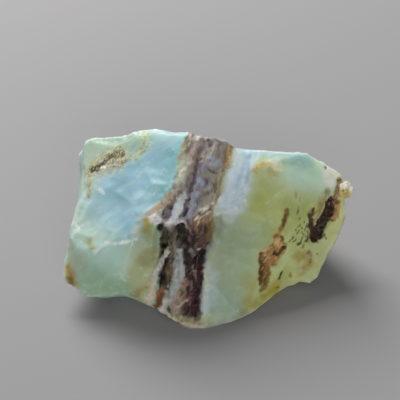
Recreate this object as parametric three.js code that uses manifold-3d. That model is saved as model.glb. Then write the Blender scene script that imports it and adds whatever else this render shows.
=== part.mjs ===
// Rough opal: one broken lump of pale blue and green opal, crossed by a band of dark host rock.
// Millimetres, +Z up. The stone rests on a flat underside at Z = 0; X runs along it, +Y is its back.
import * as THREE from 'three';
import Module from 'manifold-3d';
import { ImprovedNoise } from 'three/addons/math/ImprovedNoise.js';
import { mergeVertices } from 'three/addons/utils/BufferGeometryUtils.js';

// Overall size of the stone.
const LENGTH = 55;
const DEPTH = 36.5;
const HEIGHT = 27;

// Longest mesh edge on the plain broken faces, over the hollows, and along the worn sheets of the band.
const PLAIN_EDGE = 2.2;
const HOLLOW_EDGE = 1.2;
const GROOVE_EDGE = 0.95;

// Natural unevenness of the broken faces: broad swells, smaller lumps, grain.
const SWELL = { size: 11, height: 0.45 };
const LUMP = { size: 4.6, height: 0.22 };
const GRAIN = { size: 1.9, height: 0.1 };

// The rock band is a stack of upright sheets. A sheet is a plane of equal X - LEAN_Y * Y - LEAN_Z * Z.
const LEAN_Y = 0.35;
const LEAN_Z = 0.045;
// Worn-back sheets: place across the band, half width, depth.
const GROOVES = [
  { at: -5.7, half: 1, depth: 0.8 },
  { at: -3.1, half: 0.9, depth: 0.65 },
  { at: 1.2, half: 1.5, depth: 0.4 },
];

// Hollows: the stained pocket, the dark vein, its short arm, and the two holes under the ledge.
const HOLLOWS = [
  { from: [16.2, 0, 16.2], to: [13.2, -6.5, 9.5], radius: 1, depth: 0.35 },
  { from: [13.2, -6.2, 9.8], to: [11.6, -9, 6.6], radius: 1.9, depth: 0.8 },
  { from: [11.6, -9, 6.6], to: [10, -12.4, 2.2], radius: 1.1, depth: 0.45 },
  { from: [24, 0.8, 15.2], to: [20.2, -3.6, 10.2], radius: 1.5, depth: 0.75 },
  { from: [19.6, -1, 14.2], to: [19.9, -3.4, 10.6], radius: 0.9, depth: 0.5 },
  { from: [-8.6, -10, 17.2], to: [-8.2, -10.6, 14.8], radius: 1.2, depth: 0.9 },
  { from: [-5.2, -9.6, 17.2], to: [-4.6, -10.4, 14.8], radius: 1.3, depth: 0.9 },
];

// Small nodule grown on the right-hand tip.
const KNOB = { at: [26, 3.2, 15.9], radius: [1.25, 1.4, 1.55] };

// Corners where the broken faces meet.
const corner = {
  // Crest along the top, left to right.
  crestLeft: [-23.5, 13, 21],
  crestDip: [-16.5, 11, 23],
  lumpLeft: [-13.5, 10.5, 25],
  lumpTop: [-10.5, 9.5, 26],
  lumpRight: [-7, 7.5, 26.5],
  crestHigh: [-3, 6.5, 27],
  crestBand: [1.5, 6, 27],
  crestFall: [3.5, 6, 26],
  crestDrop: [5, 6, 24],
  crestStrip: [10, 6, 23.5],
  crestRight: [18.5, 6.5, 22],
  shoulder: [22.5, 6, 20],
  shoulderLow: [25.5, 5.5, 17.5],
  // Left flank and the rim of the blue face.
  flankHigh: [-25.5, 13.5, 16.5],
  flankMid: [-25.5, 12, 14.5],
  flankLow: [-25, 4.5, 12.5],
  rimHigh: [-24, 9, 18.5],
  rimWaist: [-23.5, 1.5, 16],
  rimLeft: [-26, -4.5, 12.5],
  rimCorner: [-25, -7, 12],
  chipLeft: [-20, -10.5, 13],
  chipMid: [-18, -10, 14],
  chipRight: [-13.5, -11.5, 16],
  creaseHigh: [-13.5, 6, 23.5],
  creaseLow: [-15.5, 2, 21],
  // Step up from the blue face to the band, back to front.
  stepHigh: [-4.5, 1, 25.5],
  stepUpper: [-5.5, -3, 23.5],
  stepMid: [-6, -5, 23],
  stepLower: [-9, -5.5, 21],
  stepLow: [-11, -6.5, 19.5],
  stepFoot: [-12.5, -8, 18],
  // Ledge across the band, left to right.
  ledgeLeft: [-10.5, -8.5, 18],
  ledgeSlab: [-9.5, -9.5, 18],
  ledgeDark: [-8.5, -9.5, 18],
  ledgePale: [-6, -9.5, 18],
  ledgeMid: [-3.5, -8.5, 18],
  ledgeBright: [-2, -8.5, 18.5],
  ledgeRust: [2, -6, 17.5],
  ledgeRight: [4.5, -4, 18],
  // Brow over the green face.
  browFoot: [6.5, -1.5, 19.5],
  browLow: [8, 0.5, 21],
  browMid: [8.5, 2, 22],
  browHigh: [10, 3.5, 22.5],
  browRight: [13, 3.5, 22.5],
  foldHigh: [16, -1.5, 16],
  foldLow: [13, -8, 9],
  // Seams down the front.
  seamHigh: [0, -9.5, 12],
  seamLow: [-0.5, -14, 6],
  slabEdge: [-10.5, -12.5, 8.5],
  beltLeft: [-24, -10.5, 8.5],
  beltRight: [-16, -12, 8.5],
  // Left corner.
  heelHigh: [-26.5, -6, 10],
  heelMid: [-27, -8, 7],
  heelLow: [-27, -11, 5.5],
  heelFoot: [-25.5, -12, 4.5],
  // Lower front edge, left to right.
  hemLeft: [-22.5, -13.5, 3.5],
  hemGreen: [-19.5, -13.5, 3],
  hemRise: [-18.5, -13, 3],
  hemArch: [-17, -13, 3.5],
  hemSlab: [-14.5, -12.5, 3],
  hemStep: [-11.5, -13.5, 2],
  hemBand: [-10, -14.5, 1.5],
  hemTan: [-6.5, -16.5, 0.5],
  toeLeft: [-4.5, -17.5, 0],
  toeMid: [-3.5, -18, 0],
  toeRight: [-0.5, -18, 0],
  toeEnd: [2.5, -17, 0],
  hemGrey: [5, -16.5, 0.5],
  hemOlive: [8, -14.5, 0.5],
  hemStain: [10, -13, 1],
  hemFold: [13, -10, 1.5],
  hemNotch: [15.5, -8, 2.5],
  hemYellow: [17.5, -7.5, 2],
  hemRight: [19.5, -7.5, 1.5],
  // Right edge.
  rightHigh: [27, 2, 15],
  rightMid: [26, -1.5, 11.5],
  rightLow: [23, -5, 6],
  rightFoot: [21, -7, 2.5],
  // Back, round the middle and round the skirt.
  backLeft: [-25, 8.5, 9],
  backCorner: [-18, 16, 12.5],
  backBand: [-4.5, 18.5, 13.5],
  backMid: [7, 17.5, 12],
  backRight: [18, 13.5, 11],
  backTip: [25.5, 6, 10.5],
  skirtLeft: [-24, 4, 4.5],
  skirtCorner: [-19, 12, 4],
  skirtBand: [-5, 17, 4.5],
  skirtMid: [8, 16, 3.5],
  skirtRight: [19, 10, 3.5],
  skirtTip: [23, 3, 4],
  // Flat underside.
  baseFront: [-15.5, -9, 0],
  baseToe: [-8, -14, 0],
  baseStain: [9, -12, 0],
  baseYellow: [16, -5.5, 0],
  baseRight: [18.5, 5, 0],
  baseMid: [9, 12, 0],
  baseBand: [-8, 13, 0],
  baseLeft: [-18, 5, 0],
};

// Broken faces, each a loop of corners running counterclockwise seen from outside.
const faces = {
  blue: 'lumpLeft creaseHigh creaseLow rimWaist rimLeft rimCorner chipLeft chipMid chipRight stepFoot '
    + 'stepLow stepLower stepMid stepUpper stepHigh crestHigh lumpRight lumpTop',
  moss: 'crestLeft rimHigh rimWaist creaseLow creaseHigh lumpLeft crestDip',
  flank: 'crestLeft flankHigh flankMid flankLow rimLeft rimWaist rimHigh',
  flankFoot: 'rimLeft flankLow backLeft skirtLeft heelMid heelHigh',
  flankBack: 'flankHigh backCorner skirtCorner skirtLeft backLeft flankLow flankMid',
  flankPeak: 'crestLeft backCorner flankHigh',
  backPeak: 'crestLeft crestDip lumpLeft lumpTop lumpRight crestHigh backBand backCorner',
  backCentre: 'crestHigh crestBand crestFall crestDrop crestStrip backMid backBand',
  backStrip: 'crestStrip crestRight backRight backMid',
  backShoulder: 'crestRight shoulder shoulderLow rightHigh rightMid backTip backRight',
  rightSide: 'rightMid rightLow skirtTip backTip',
  rightSkirt: 'rightLow rightFoot baseYellow baseRight skirtTip',
  lowTip: 'backRight backTip skirtTip skirtRight',
  lowRight: 'backMid backRight skirtRight skirtMid',
  lowBand: 'backBand backMid skirtMid skirtBand',
  lowCorner: 'backCorner backBand skirtBand skirtCorner',
  underCorner: 'skirtCorner skirtBand baseBand baseLeft',
  underBand: 'skirtBand skirtMid baseMid baseBand',
  underMid: 'skirtMid skirtRight baseRight baseMid',
  underTip: 'skirtRight skirtTip baseRight',
  underFlank: 'skirtLeft skirtCorner baseLeft',
  underHeel: 'heelLow heelMid skirtLeft baseLeft baseFront hemLeft heelFoot',
  underFront: 'hemLeft baseFront baseToe toeLeft hemTan hemBand hemStep hemSlab hemArch hemRise hemGreen',
  underRight: 'rightFoot hemRight hemYellow hemNotch hemFold hemStain hemOlive hemGrey toeEnd '
    + 'baseStain baseYellow',
  base: 'baseFront baseLeft baseBand baseMid baseRight baseYellow baseStain toeEnd toeRight toeMid '
    + 'toeLeft baseToe',
  heel: 'rimLeft heelHigh heelMid beltLeft rimCorner',
  belt: 'rimCorner beltLeft beltRight chipRight chipMid chipLeft',
  green: 'beltLeft heelMid heelLow heelFoot hemLeft hemGreen hemRise hemArch hemSlab beltRight',
  slab: 'stepFoot chipRight beltRight hemSlab hemStep slabEdge ledgeSlab ledgeLeft',
  bandFront: 'ledgeSlab slabEdge hemStep hemBand hemTan toeLeft toeMid toeRight seamLow seamHigh '
    + 'ledgeRust ledgeBright ledgeMid ledgePale ledgeDark',
  bandTop: 'crestHigh stepHigh stepUpper stepMid stepLower stepLow stepFoot ledgeLeft ledgeSlab '
    + 'ledgeDark ledgePale ledgeMid ledgeBright ledgeRust ledgeRight browFoot browLow browMid '
    + 'crestDrop crestFall crestBand',
  strip: 'crestDrop browMid browHigh browRight crestRight crestStrip',
  greyGreen: 'ledgeRust seamHigh seamLow toeRight toeEnd hemGrey hemOlive hemStain hemFold foldLow foldHigh '
    + 'browRight browHigh browMid browLow browFoot ledgeRight',
  yellowGreen: 'browRight foldHigh foldLow hemFold hemNotch hemYellow hemRight rightFoot rightLow rightMid '
    + 'rightHigh shoulderLow shoulder crestRight',
};

// Faces that roll into each other without a sharp edge between them.
const SOFT = [
  ['bandFront', 'greyGreen', 'yellowGreen'],
  ['bandTop', 'strip'],
  ['blue', 'moss'],
  ['heel', 'belt', 'green'],
  ['rightSide', 'backShoulder', 'lowTip'],
  ['backPeak', 'flankPeak'],
];

const noise = new ImprovedNoise();

function swell(point, size, shift) {
  return noise.noise(point.x / size + shift, point.y / size - shift, point.z / size + 2 * shift);
}

function acrossBand(point) {
  return point.x - LEAN_Y * point.y - LEAN_Z * point.z + 0.5 * swell(point, 5, 3.7);
}

function segment(hollow) {
  return new THREE.Line3(new THREE.Vector3(...hollow.from), new THREE.Vector3(...hollow.to));
}

function distanceToHollow(point, hollow) {
  const nearest = new THREE.Vector3();
  segment(hollow).closestPointToPoint(point, true, nearest);
  return nearest.distanceTo(point);
}

// Depth of the worn sheets at a point; they wear deepest on the front below the ledge.
function grooveDepth(point, normal) {
  const place = acrossBand(point);
  const wear = 0.45 + 0.55 * THREE.MathUtils.smoothstep(-normal.y, 0.5, 0.9);
  let depth = 0;
  for (const groove of GROOVES) {
    const away = Math.abs(place - groove.at) / groove.half;
    const share = 1 - THREE.MathUtils.smoothstep(away, 0.3, 1.5);
    depth = Math.max(depth, share * groove.depth * wear);
  }
  return depth;
}

function hollowDepth(point) {
  let depth = 0;
  for (const hollow of HOLLOWS) {
    const reach = distanceToHollow(point, hollow) / hollow.radius + 0.35 * swell(point, 2.3, 9.1);
    depth = Math.max(depth, hollow.depth * (1 - THREE.MathUtils.smoothstep(reach, 0.5, 1.3)));
  }
  return depth;
}

// Height of the natural surface over the smooth face at a point.
function relief(point, normal) {
  const even = SWELL.height * swell(point, SWELL.size, 0.3)
    + LUMP.height * swell(point, LUMP.size, 5.1)
    + GRAIN.height * swell(point, GRAIN.size, 8.7);
  return even - Math.max(grooveDepth(point, normal), hollowDepth(point));
}

// Longest edge allowed at a place: finer along the worn sheets on the front and top, and over the hollows.
function edgeLimit(point) {
  const place = acrossBand(point);
  const seen = point.y < 7 && point.z > 0.5;
  if (seen && GROOVES.some((groove) => Math.abs(place - groove.at) < 1.5 * groove.half)) {
    return GROOVE_EDGE;
  }
  const hollow = HOLLOWS.some((each) => distanceToHollow(point, each) < each.radius + 0.8);
  return hollow ? HOLLOW_EDGE : PLAIN_EDGE;
}

// Welded vertices: every place is stored once, with the faces that meet there.
const vertices = [];
const vertexAt = new Map();

function vertex(point) {
  const key = point.toArray().map((value) => Math.round(value * 1e4)).join();
  if (!vertexAt.has(key)) {
    vertexAt.set(key, vertices.length);
    vertices.push({ point: point.clone(), faces: new Set(), near: new Set() });
  }
  return vertexAt.get(key);
}

// Triangles of one loop of corners, cut in the plane the loop lies closest to.
function triangulate(loop) {
  const points = loop.map((name) => new THREE.Vector3(...corner[name]));
  const normal = new THREE.Vector3();
  points.forEach((point, index) => {
    const next = points[(index + 1) % points.length];
    normal.add(new THREE.Vector3().crossVectors(point, next));
  });
  normal.normalize();
  const flat = new THREE.Quaternion().setFromUnitVectors(normal, new THREE.Vector3(0, 0, 1));
  const outline = points.map((point) => {
    const turned = point.clone().applyQuaternion(flat);
    return new THREE.Vector2(turned.x, turned.y);
  });
  const indices = points.map((point) => vertex(point));
  return THREE.ShapeUtils.triangulateShape(outline, []).map((three) => three.map((index) => indices[index]));
}

function midpoint(a, b) {
  return vertices[a].point.clone().add(vertices[b].point).multiplyScalar(0.5);
}

function span([a, b]) {
  return vertices[a].point.distanceTo(vertices[b].point);
}

function tooLong(edge) {
  return span(edge) > edgeLimit(midpoint(edge[0], edge[1]));
}

// Halves the longest over-long edge of a triangle until none is left. An edge shared by two triangles is
// judged by its own ends alone, so both sides cut it at the same place and the skin stays closed.
function refine([a, b, c], done) {
  const long = [[a, b, c], [b, c, a], [c, a, b]].filter(tooLong);
  if (long.length === 0) {
    done.push([a, b, c]);
    return;
  }
  long.sort((one, two) => span(two) - span(one));
  const [from, to, tip] = long[0];
  const middle = vertex(midpoint(from, to));
  refine([from, middle, tip], done);
  refine([middle, to, tip], done);
}

const triangles = [];
for (const [name, loop] of Object.entries(faces)) {
  for (const triangle of triangulate(loop.split(' '))) {
    const pieces = [];
    refine(triangle, pieces);
    for (const piece of pieces) {
      triangles.push(piece);
      for (const index of piece) {
        vertices[index].faces.add(name);
        piece.filter((other) => other !== index).forEach((other) => vertices[index].near.add(other));
      }
    }
  }
}

function edgeKind(meeting) {
  if (meeting.has('base')) {
    return 'base';
  }
  if (meeting.size === 1) {
    return 'face';
  }
  return SOFT.some((group) => [...meeting].every((name) => group.includes(name))) ? 'soft' : 'ridge';
}

// Draws vertices towards the middle of their neighbours, by a share for each kind of place. The ridges
// give way only a little, and the underside keeps its plane.
function relax(rounds, share) {
  for (let round = 0; round < rounds; round += 1) {
    const moved = vertices.map(({ point, faces: meeting, near }) => {
      const middle = new THREE.Vector3();
      near.forEach((index) => middle.add(vertices[index].point));
      middle.divideScalar(near.size);
      return point.clone().lerp(middle, share[edgeKind(meeting)]);
    });
    moved.forEach((point, index) => {
      vertices[index].point = point;
    });
  }
}

function geometryNow() {
  const geometry = new THREE.BufferGeometry();
  const positions = vertices.flatMap(({ point }) => point.toArray());
  geometry.setAttribute('position', new THREE.Float32BufferAttribute(positions, 3));
  geometry.setIndex(triangles.flat());
  geometry.computeVertexNormals();
  return geometry;
}

function addRelief() {
  const normals = geometryNow().getAttribute('normal');
  vertices.forEach((entry, index) => {
    if (entry.faces.has('base')) {
      return;
    }
    const normal = new THREE.Vector3().fromBufferAttribute(normals, index);
    const clear = THREE.MathUtils.smoothstep(entry.point.z, 0, 2);
    entry.point.addScaledVector(normal, clear * relief(entry.point, normal));
    entry.point.z = Math.max(entry.point.z, 0.15);
  });
}

// Brings the stone to its stated size, with the middle of its underside box at the origin.
function fitToSize(geometry) {
  geometry.computeBoundingBox();
  const size = geometry.boundingBox.getSize(new THREE.Vector3());
  const middle = geometry.boundingBox.getCenter(new THREE.Vector3());
  geometry.translate(-middle.x, -middle.y, -geometry.boundingBox.min.z);
  geometry.scale(LENGTH / size.x, DEPTH / size.y, HEIGHT / size.z);
  return geometry;
}

relax(25, { face: 0.5, soft: 0.04, ridge: 0, base: 0 });
relax(6, { face: 0.4, soft: 0.4, ridge: 0.03, base: 0 });
addRelief();

const { Manifold, Mesh } = await Module().then((wasm) => {
  wasm.setup();
  return wasm;
});

function solid(geometry) {
  return new Manifold(new Mesh({
    numProp: 3,
    vertProperties: new Float32Array(geometry.getAttribute('position').array),
    triVerts: new Uint32Array(geometry.index.array),
  }));
}

// The nodule: an uneven round lump, half sunk in the tip.
function knob() {
  const ball = new THREE.IcosahedronGeometry(1, 2);
  ball.deleteAttribute('normal');
  ball.deleteAttribute('uv');
  const lump = mergeVertices(ball, 1e-4);
  const positions = lump.getAttribute('position');
  for (let index = 0; index < positions.count; index += 1) {
    const point = new THREE.Vector3().fromBufferAttribute(positions, index);
    point.multiplyScalar(1 + 0.22 * swell(point, 0.9, 4.3));
    positions.setXYZ(index, point.x, point.y, point.z);
  }
  lump.scale(...KNOB.radius);
  lump.translate(...KNOB.at);
  return lump;
}

function joined(first, second) {
  const mesh = solid(first).add(solid(second)).getMesh();
  const geometry = new THREE.BufferGeometry();
  geometry.setAttribute('position', new THREE.Float32BufferAttribute(mesh.vertProperties, mesh.numProp));
  geometry.setIndex([...mesh.triVerts]);
  return geometry;
}

const skin = fitToSize(joined(geometryNow(), knob()));
skin.computeVertexNormals();

const opal = new THREE.Mesh(
  skin,
  new THREE.MeshStandardMaterial({ color: new THREE.Color(0.5, 0.66, 0.6), roughness: 0.35, metalness: 0 }),
);
opal.name = 'opal';

const stone = new THREE.Group();
stone.name = 'rough_opal';
stone.add(opal);

export default stone;
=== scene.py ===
import math
from collections import namedtuple

import bpy
import numpy as np
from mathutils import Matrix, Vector, noise


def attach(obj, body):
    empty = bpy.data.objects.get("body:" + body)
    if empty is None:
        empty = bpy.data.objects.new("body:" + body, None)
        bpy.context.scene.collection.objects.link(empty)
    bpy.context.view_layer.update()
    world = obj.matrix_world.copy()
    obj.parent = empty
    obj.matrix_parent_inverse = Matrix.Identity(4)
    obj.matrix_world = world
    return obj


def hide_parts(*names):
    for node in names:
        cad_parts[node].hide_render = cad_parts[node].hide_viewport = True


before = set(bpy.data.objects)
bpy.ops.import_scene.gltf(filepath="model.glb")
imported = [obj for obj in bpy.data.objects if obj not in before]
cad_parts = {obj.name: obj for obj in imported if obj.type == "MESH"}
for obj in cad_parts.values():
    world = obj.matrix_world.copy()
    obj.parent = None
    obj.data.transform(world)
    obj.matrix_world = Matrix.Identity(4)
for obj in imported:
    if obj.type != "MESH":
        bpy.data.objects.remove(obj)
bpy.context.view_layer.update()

# The stone's body: one lump of opal grown through with a steep band of host rock. It was broken out with
# a hammer, so its faces are shell-like scars with chipped edges, while the rock wears back in sheets.
# It lies loose on its flat underside.
MM = 0.001
VOXEL = 0.27 * MM

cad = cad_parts["opal"]
bpy.ops.object.select_all(action="DESELECT")
stone = bpy.data.objects.new("rough_opal", cad.data.copy())
bpy.context.scene.collection.objects.link(stone)
bpy.context.view_layer.objects.active = stone
stone.select_set(True)
bpy.ops.object.mode_set(mode="EDIT")
bpy.ops.mesh.select_all(action="SELECT")
bpy.ops.mesh.remove_doubles(threshold=0.001 * MM)
bpy.ops.object.mode_set(mode="OBJECT")

even = stone.modifiers.new("even_skin", "REMESH")
even.mode = "VOXEL"
even.voxel_size = VOXEL
bpy.ops.object.modifier_apply(modifier=even.name)
worn = stone.modifiers.new("worn_edges", "SMOOTH")
worn.factor = 0.5
worn.iterations = 4
bpy.ops.object.modifier_apply(modifier=worn.name)

# The skin's points, in mm like every length from here to the studio that isn't given times MM.
points = np.array([vertex.co for vertex in stone.data.vertices]) / MM
outward = np.array([vertex.normal for vertex in stone.data.vertices])
pairs = np.array([tuple(edge.vertices) for edge in stone.data.edges])
count = len(points)
neighbours = np.bincount(pairs.ravel(), minlength=count)
x, y, z = points.T


def step(values, low, high):
    """0 below low and 1 above high, or the other way round where low is the larger."""
    share = np.clip((values - low) / (high - low), 0.0, 1.0)
    return share * share * (3.0 - 2.0 * share)


def lumps(size, at=points):
    """Even noise from about -1 to 1 at every point of the skin, with lumps of that size."""
    return np.array([noise.noise(place) for place in (at / size).tolist()])


def bowls(size, at=points):
    """0 in the middle of a shell-like hollow of that size, about 1 on the ridge round it."""
    return np.array([noise.voronoi(place)[0][0] for place in (at / size).tolist()])


def cracks(size, at=points):
    """0 on the lines between cells of that size, larger away from them."""
    return np.array([d[1] - d[0] for d, _ in (noise.voronoi(place) for place in (at / size).tolist())])


# The direction in which the opal's streaks run.
SLANT = np.array((0.79, 0.35, 0.51))


def slanted(size, stretch):
    """Even noise stretched along the slant of the opal's streaks."""
    return lumps(size, points - stretch * (points @ SLANT)[:, None] * SLANT)


def upright(sideways, thin, deep, tall):
    """Even noise in upright sheets: how fast it changes through the sheets, to the back and upwards."""
    return lumps(1.0, np.stack((sideways * thin, y * deep, z * tall), axis=1))


def to_line(line):
    """Distance from every point of the skin to a line through points."""
    best = np.full(count, 1e9)
    for start, end in zip(np.array(line), np.array(line[1:])):
        run = end - start
        share = np.clip((points - start) @ run / (run @ run), 0.0, 1.0)
        best = np.minimum(best, np.linalg.norm(points - start - share[:, None] * run, axis=1))
    return best


def tint(red, green, blue):
    """A colour given as on a screen, 0 to 255, in the light values that the finish works in."""
    values = [value / 255.0 for value in (red, green, blue)]
    return tuple(v / 12.92 if v <= 0.04045 else ((v + 0.055) / 1.055) ** 2.4 for v in values) + (1.0,)


def blend(mask, first, second):
    """The first colour where the mask is 0, the second where it is 1."""
    mask = np.clip(mask, 0.0, 1.0)[:, None]
    return first * (1.0 - mask) + second * mask


def shades(mask, dark, light):
    """From the dark colour where the mask is 0 to the light one where it is 1."""
    return blend(mask, np.array(tint(*dark)), np.array(tint(*light)))


def wash(under, mask, *shade):
    """Lays one even colour over what is under it, as thick as the mask."""
    return blend(mask, under, np.array(tint(*shade)))


# Patterns that colour and height share. The band runs slantwise to the back and leans a little, and over the
# ledge its rock is weathered.
BAND_RUN = 0.35
BAND_LEAN = 0.065
BAND_LEFT = (-5.2, -4.3)
BAND_RIGHT = (4.5, 3.9)
LEDGE_HEIGHT = (16.4, 17.8)
broad = lumps(6.0)
cloud = lumps(2.6)
fleck = lumps(0.95) + 0.5 * lumps(0.48)
grit = lumps(0.3)
bent = points + 1.3 * np.stack((broad, cloud, broad - cloud), axis=1)
streaks = slanted(2.2, 0.72) + 0.45 * slanted(1.1, 0.6)
across = x - BAND_RUN * y + BAND_LEAN * z + 0.55 * cloud
sheet = across + 0.35 * fleck
fibres = upright(sheet, 1.9, 0.3, 0.3) + 0.5 * upright(sheet, 4.0, 0.6, 0.6)
in_rock = step(across, *BAND_LEFT) * step(across, *BAND_RIGHT)
weathered = step(z + 0.6 * fleck, *LEDGE_HEIGHT)

# Opal: milky blue on the left, green below, yellow-green on the right of the band. A zone is a broad change
# of its colour: a line of points, half width, soft edge, strength and colour.
left_zones = (
    ([(-6.0, 2.5, 25.0), (-8.5, -4.0, 21.5)], 1.6, 3.0, 0.9, (126, 176, 182)),
    ([(-8.8, 2.1, 23.9), (-13.0, 0.7, 21.5), (-17.2, -1.6, 18.5)], 0.8, 2.0, 0.2, (168, 204, 216)),
    ([(-25.0, 9.0, 20.0), (-14.0, 9.5, 24.5)], 2.5, 4.0, 0.9, (160, 182, 164)),
    ([(-23.5, 3.0, 17.5), (-23.5, 9.0, 19.5)], 2.0, 3.0, 0.8, (178, 192, 174)),
    ([(-22.8, -1.5, 15.9), (-20.2, -2.2, 16.8), (-17.7, -3.5, 17.5)], 1.2, 3.0, 0.6, (166, 200, 208)),
    ([(-14.7, -3.8, 19.1), (-16.7, -1.1, 19.0)], 1.0, 2.4, 0.7, (124, 164, 180)),
    ([(-25.0, 10.2, 16.6), (-25.1, 7.4, 15.4), (-24.9, 1.5, 14.5)], 0.8, 1.4, 0.8, (156, 170, 164)),
    ([(-12.0, 9.0, 26.0), (-5.5, 7.5, 27.0)], 1.5, 3.5, 0.8, (184, 210, 210)),
    ([(-26.5, 2.0, 14.0), (-25.2, -4.5, 13.0), (-22.0, -8.5, 12.8)], 2.4, 5.0, 0.9, (188, 208, 194)),
    ([(-25.0, -10.0, 9.5), (-18.9, -10.9, 11.4), (-14.0, -11.5, 11.0)], 2.6, 4.0, 0.9, (184, 214, 202)),
    ([(-22.0, -11.8, 7.5), (-15.0, -12.6, 7.0)], 1.8, 3.0, 0.9, (166, 196, 178)),
    ([(-27.0, -12.0, 3.0), (-13.0, -14.0, 3.0)], 3.5, 4.0, 0.95, (150, 178, 150)),
    ([(-10.2, -10.0, 16.8), (-10.8, -12.2, 10.0), (-12.0, -13.5, 3.0)], 1.8, 3.2, 0.95, (160, 178, 142)),
    ([(-13.8, -11.4, 14.0), (-14.9, -11.9, 10.9), (-15.6, -12.1, 8.9)], 0.8, 2.4, 0.7, (186, 204, 182)),
    ([(-12.2, -11.0, 14.6), (-12.6, -11.9, 10.9), (-13.2, -12.3, 8.4)], 1.3, 2.0, 0.9, (172, 180, 138)),
    ([(-10.4, -10.5, 16.0), (-10.1, -10.9, 13.9), (-10.7, -11.5, 12.0)], 1.2, 1.6, 0.9, (136, 142, 98)),
    ([(-11.7, -10.2, 15.9), (-11.0, -10.9, 14.5), (-11.7, -11.5, 11.9)], 1.0, 1.6, 0.8, (152, 154, 108)),
    ([(-12.9, -12.6, 6.9), (-11.9, -13.0, 5.7), (-12.4, -13.4, 3.0)], 1.1, 1.8, 0.9, (174, 180, 142)),
    ([(-13.2, -9.5, 17.2), (-13.1, -10.5, 15.9)], 0.5, 1.2, 0.9, (206, 210, 194)),
    ([(-26.5, -5.9, 10.8), (-25.6, -8.5, 9.1), (-24.8, -9.6, 8.7)], 0.9, 1.8, 0.85, (168, 176, 158)),
    ([(-23.5, -6.0, 4.0), (-23.6, 2.0, 4.0), (-21.4, 9.0, 4.0)], 3.0, 5.0, 0.85, (154, 184, 164)),
    ([(-24.0, 6.6, 6.0), (-15.0, 13.2, 4.0), (-4.0, 16.5, 4.0)], 2.4, 4.5, 0.85, (158, 188, 172)),
    ([(-22.0, 12.7, 12.0), (-16.0, 16.1, 14.0), (-12.0, 16.3, 15.0)], 2.2, 4.0, 0.7, (176, 194, 174)),
    (
        [(-3.5, 12.6, 20.0), (-1.4, 17.4, 14.0), (-1.1, 17.3, 8.0), (-1.2, 16.2, 4.0)],
        1.2, 2.6, 0.85, (126, 172, 176),
    ),
    ([(-10.0, 17.2, 14.0), (-7.0, 17.6, 10.0), (-12.0, 15.4, 7.0)], 1.6, 4.0, 0.6, (190, 212, 218)),
)
right_zones = (
    ([(3.0, -8.0, 14.0), (2.0, -15.0, 2.0)], 3.5, 5.0, 0.95, (164, 176, 152)),
    ([(8.0, -7.0, 13.0), (6.0, -12.0, 5.0)], 2.0, 5.0, 0.8, (164, 184, 148)),
    ([(6.2, 6.0, 24.2), (5.2, 0.0, 21.6), (2.8, -4.2, 18.6)], 2.0, 3.2, 0.95, (200, 220, 228)),
    ([(5.1, 0.0, 21.4), (5.6, -1.7, 19.8), (5.2, -3.4, 17.9)], 1.1, 2.0, 0.6, (210, 228, 238)),
    ([(13.0, 4.0, 21.0), (21.0, 4.0, 18.5)], 2.4, 4.5, 0.9, (204, 230, 214)),
    ([(6.0, 7.0, 23.8), (16.0, 7.0, 23.4)], 1.7, 2.2, 0.95, (174, 204, 216)),
    ([(12.2, 5.1, 23.0), (15.2, 5.1, 22.6), (17.5, 4.9, 21.7)], 0.8, 1.6, 0.6, (164, 196, 196)),
    ([(6.4, -14.7, 2.0), (7.6, -13.2, 3.6), (8.4, -11.4, 5.8)], 0.7, 2.4, 0.85, (166, 158, 78)),
    # Yellow along the low front rim, made darker and browner as painted shade and a painted reflection of
    # the floor.
    ([(5.3, -16.0, 1.2), (8.7, -13.4, 2.2), (12.2, -10.6, 2.6)], 0.5, 1.8, 0.95, (170, 158, 70)),
    ([(0.5, -15.0, 4.0), (4.0, -16.0, 2.0)], 1.6, 4.0, 0.9, (154, 180, 164)),
    ([(9.8, 1.1, 20.9), (12.1, 1.2, 20.3), (12.8, -0.9, 17.8)], 0.9, 2.4, 0.5, (192, 198, 130)),
    ([(9.4, -0.5, 19.4), (8.9, -3.9, 15.6)], 0.6, 2.4, 0.4, (182, 188, 110)),
    ([(21.5, -3.9, 8.0), (22.0, -5.2, 5.9), (19.3, -7.0, 3.5)], 1.5, 3.0, 0.7, (186, 194, 142)),
    ([(25.8, 1.0, 12.5), (24.6, -3.0, 8.5)], 1.0, 2.4, 0.8, (204, 206, 152)),
    ([(8.8, 9.4, 20.0), (10.4, 13.2, 15.0), (11.4, 14.9, 9.0)], 1.8, 3.4, 0.9, (196, 216, 222)),
    ([(13.0, 13.3, 5.0), (19.0, 10.0, 4.0)], 2.6, 5.0, 0.85, (160, 180, 146)),
    ([(20.5, 8.0, 5.0), (22.8, 2.0, 4.0)], 2.8, 5.0, 0.85, (164, 182, 142)),
    ([(14.0, 11.1, 16.0), (20.0, 10.3, 13.0), (24.0, 6.1, 10.0)], 1.8, 4.0, 0.85, (184, 210, 194)),
    ([(21.0, 8.6, 8.0), (18.0, 11.5, 6.5)], 0.9, 2.6, 0.6, (188, 182, 110)),
)
wander = 1.7 * broad + 0.9 * cloud


def zoned(colour, zones):
    """Lays the zones over a colour, one after another, with wandering borders."""
    for line, half, soft, strength, shade in zones:
        mask = step(to_line(line) + wander, half + soft, half - 0.4 * soft)
        colour = wash(colour, mask * strength, *shade)
    return colour


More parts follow.
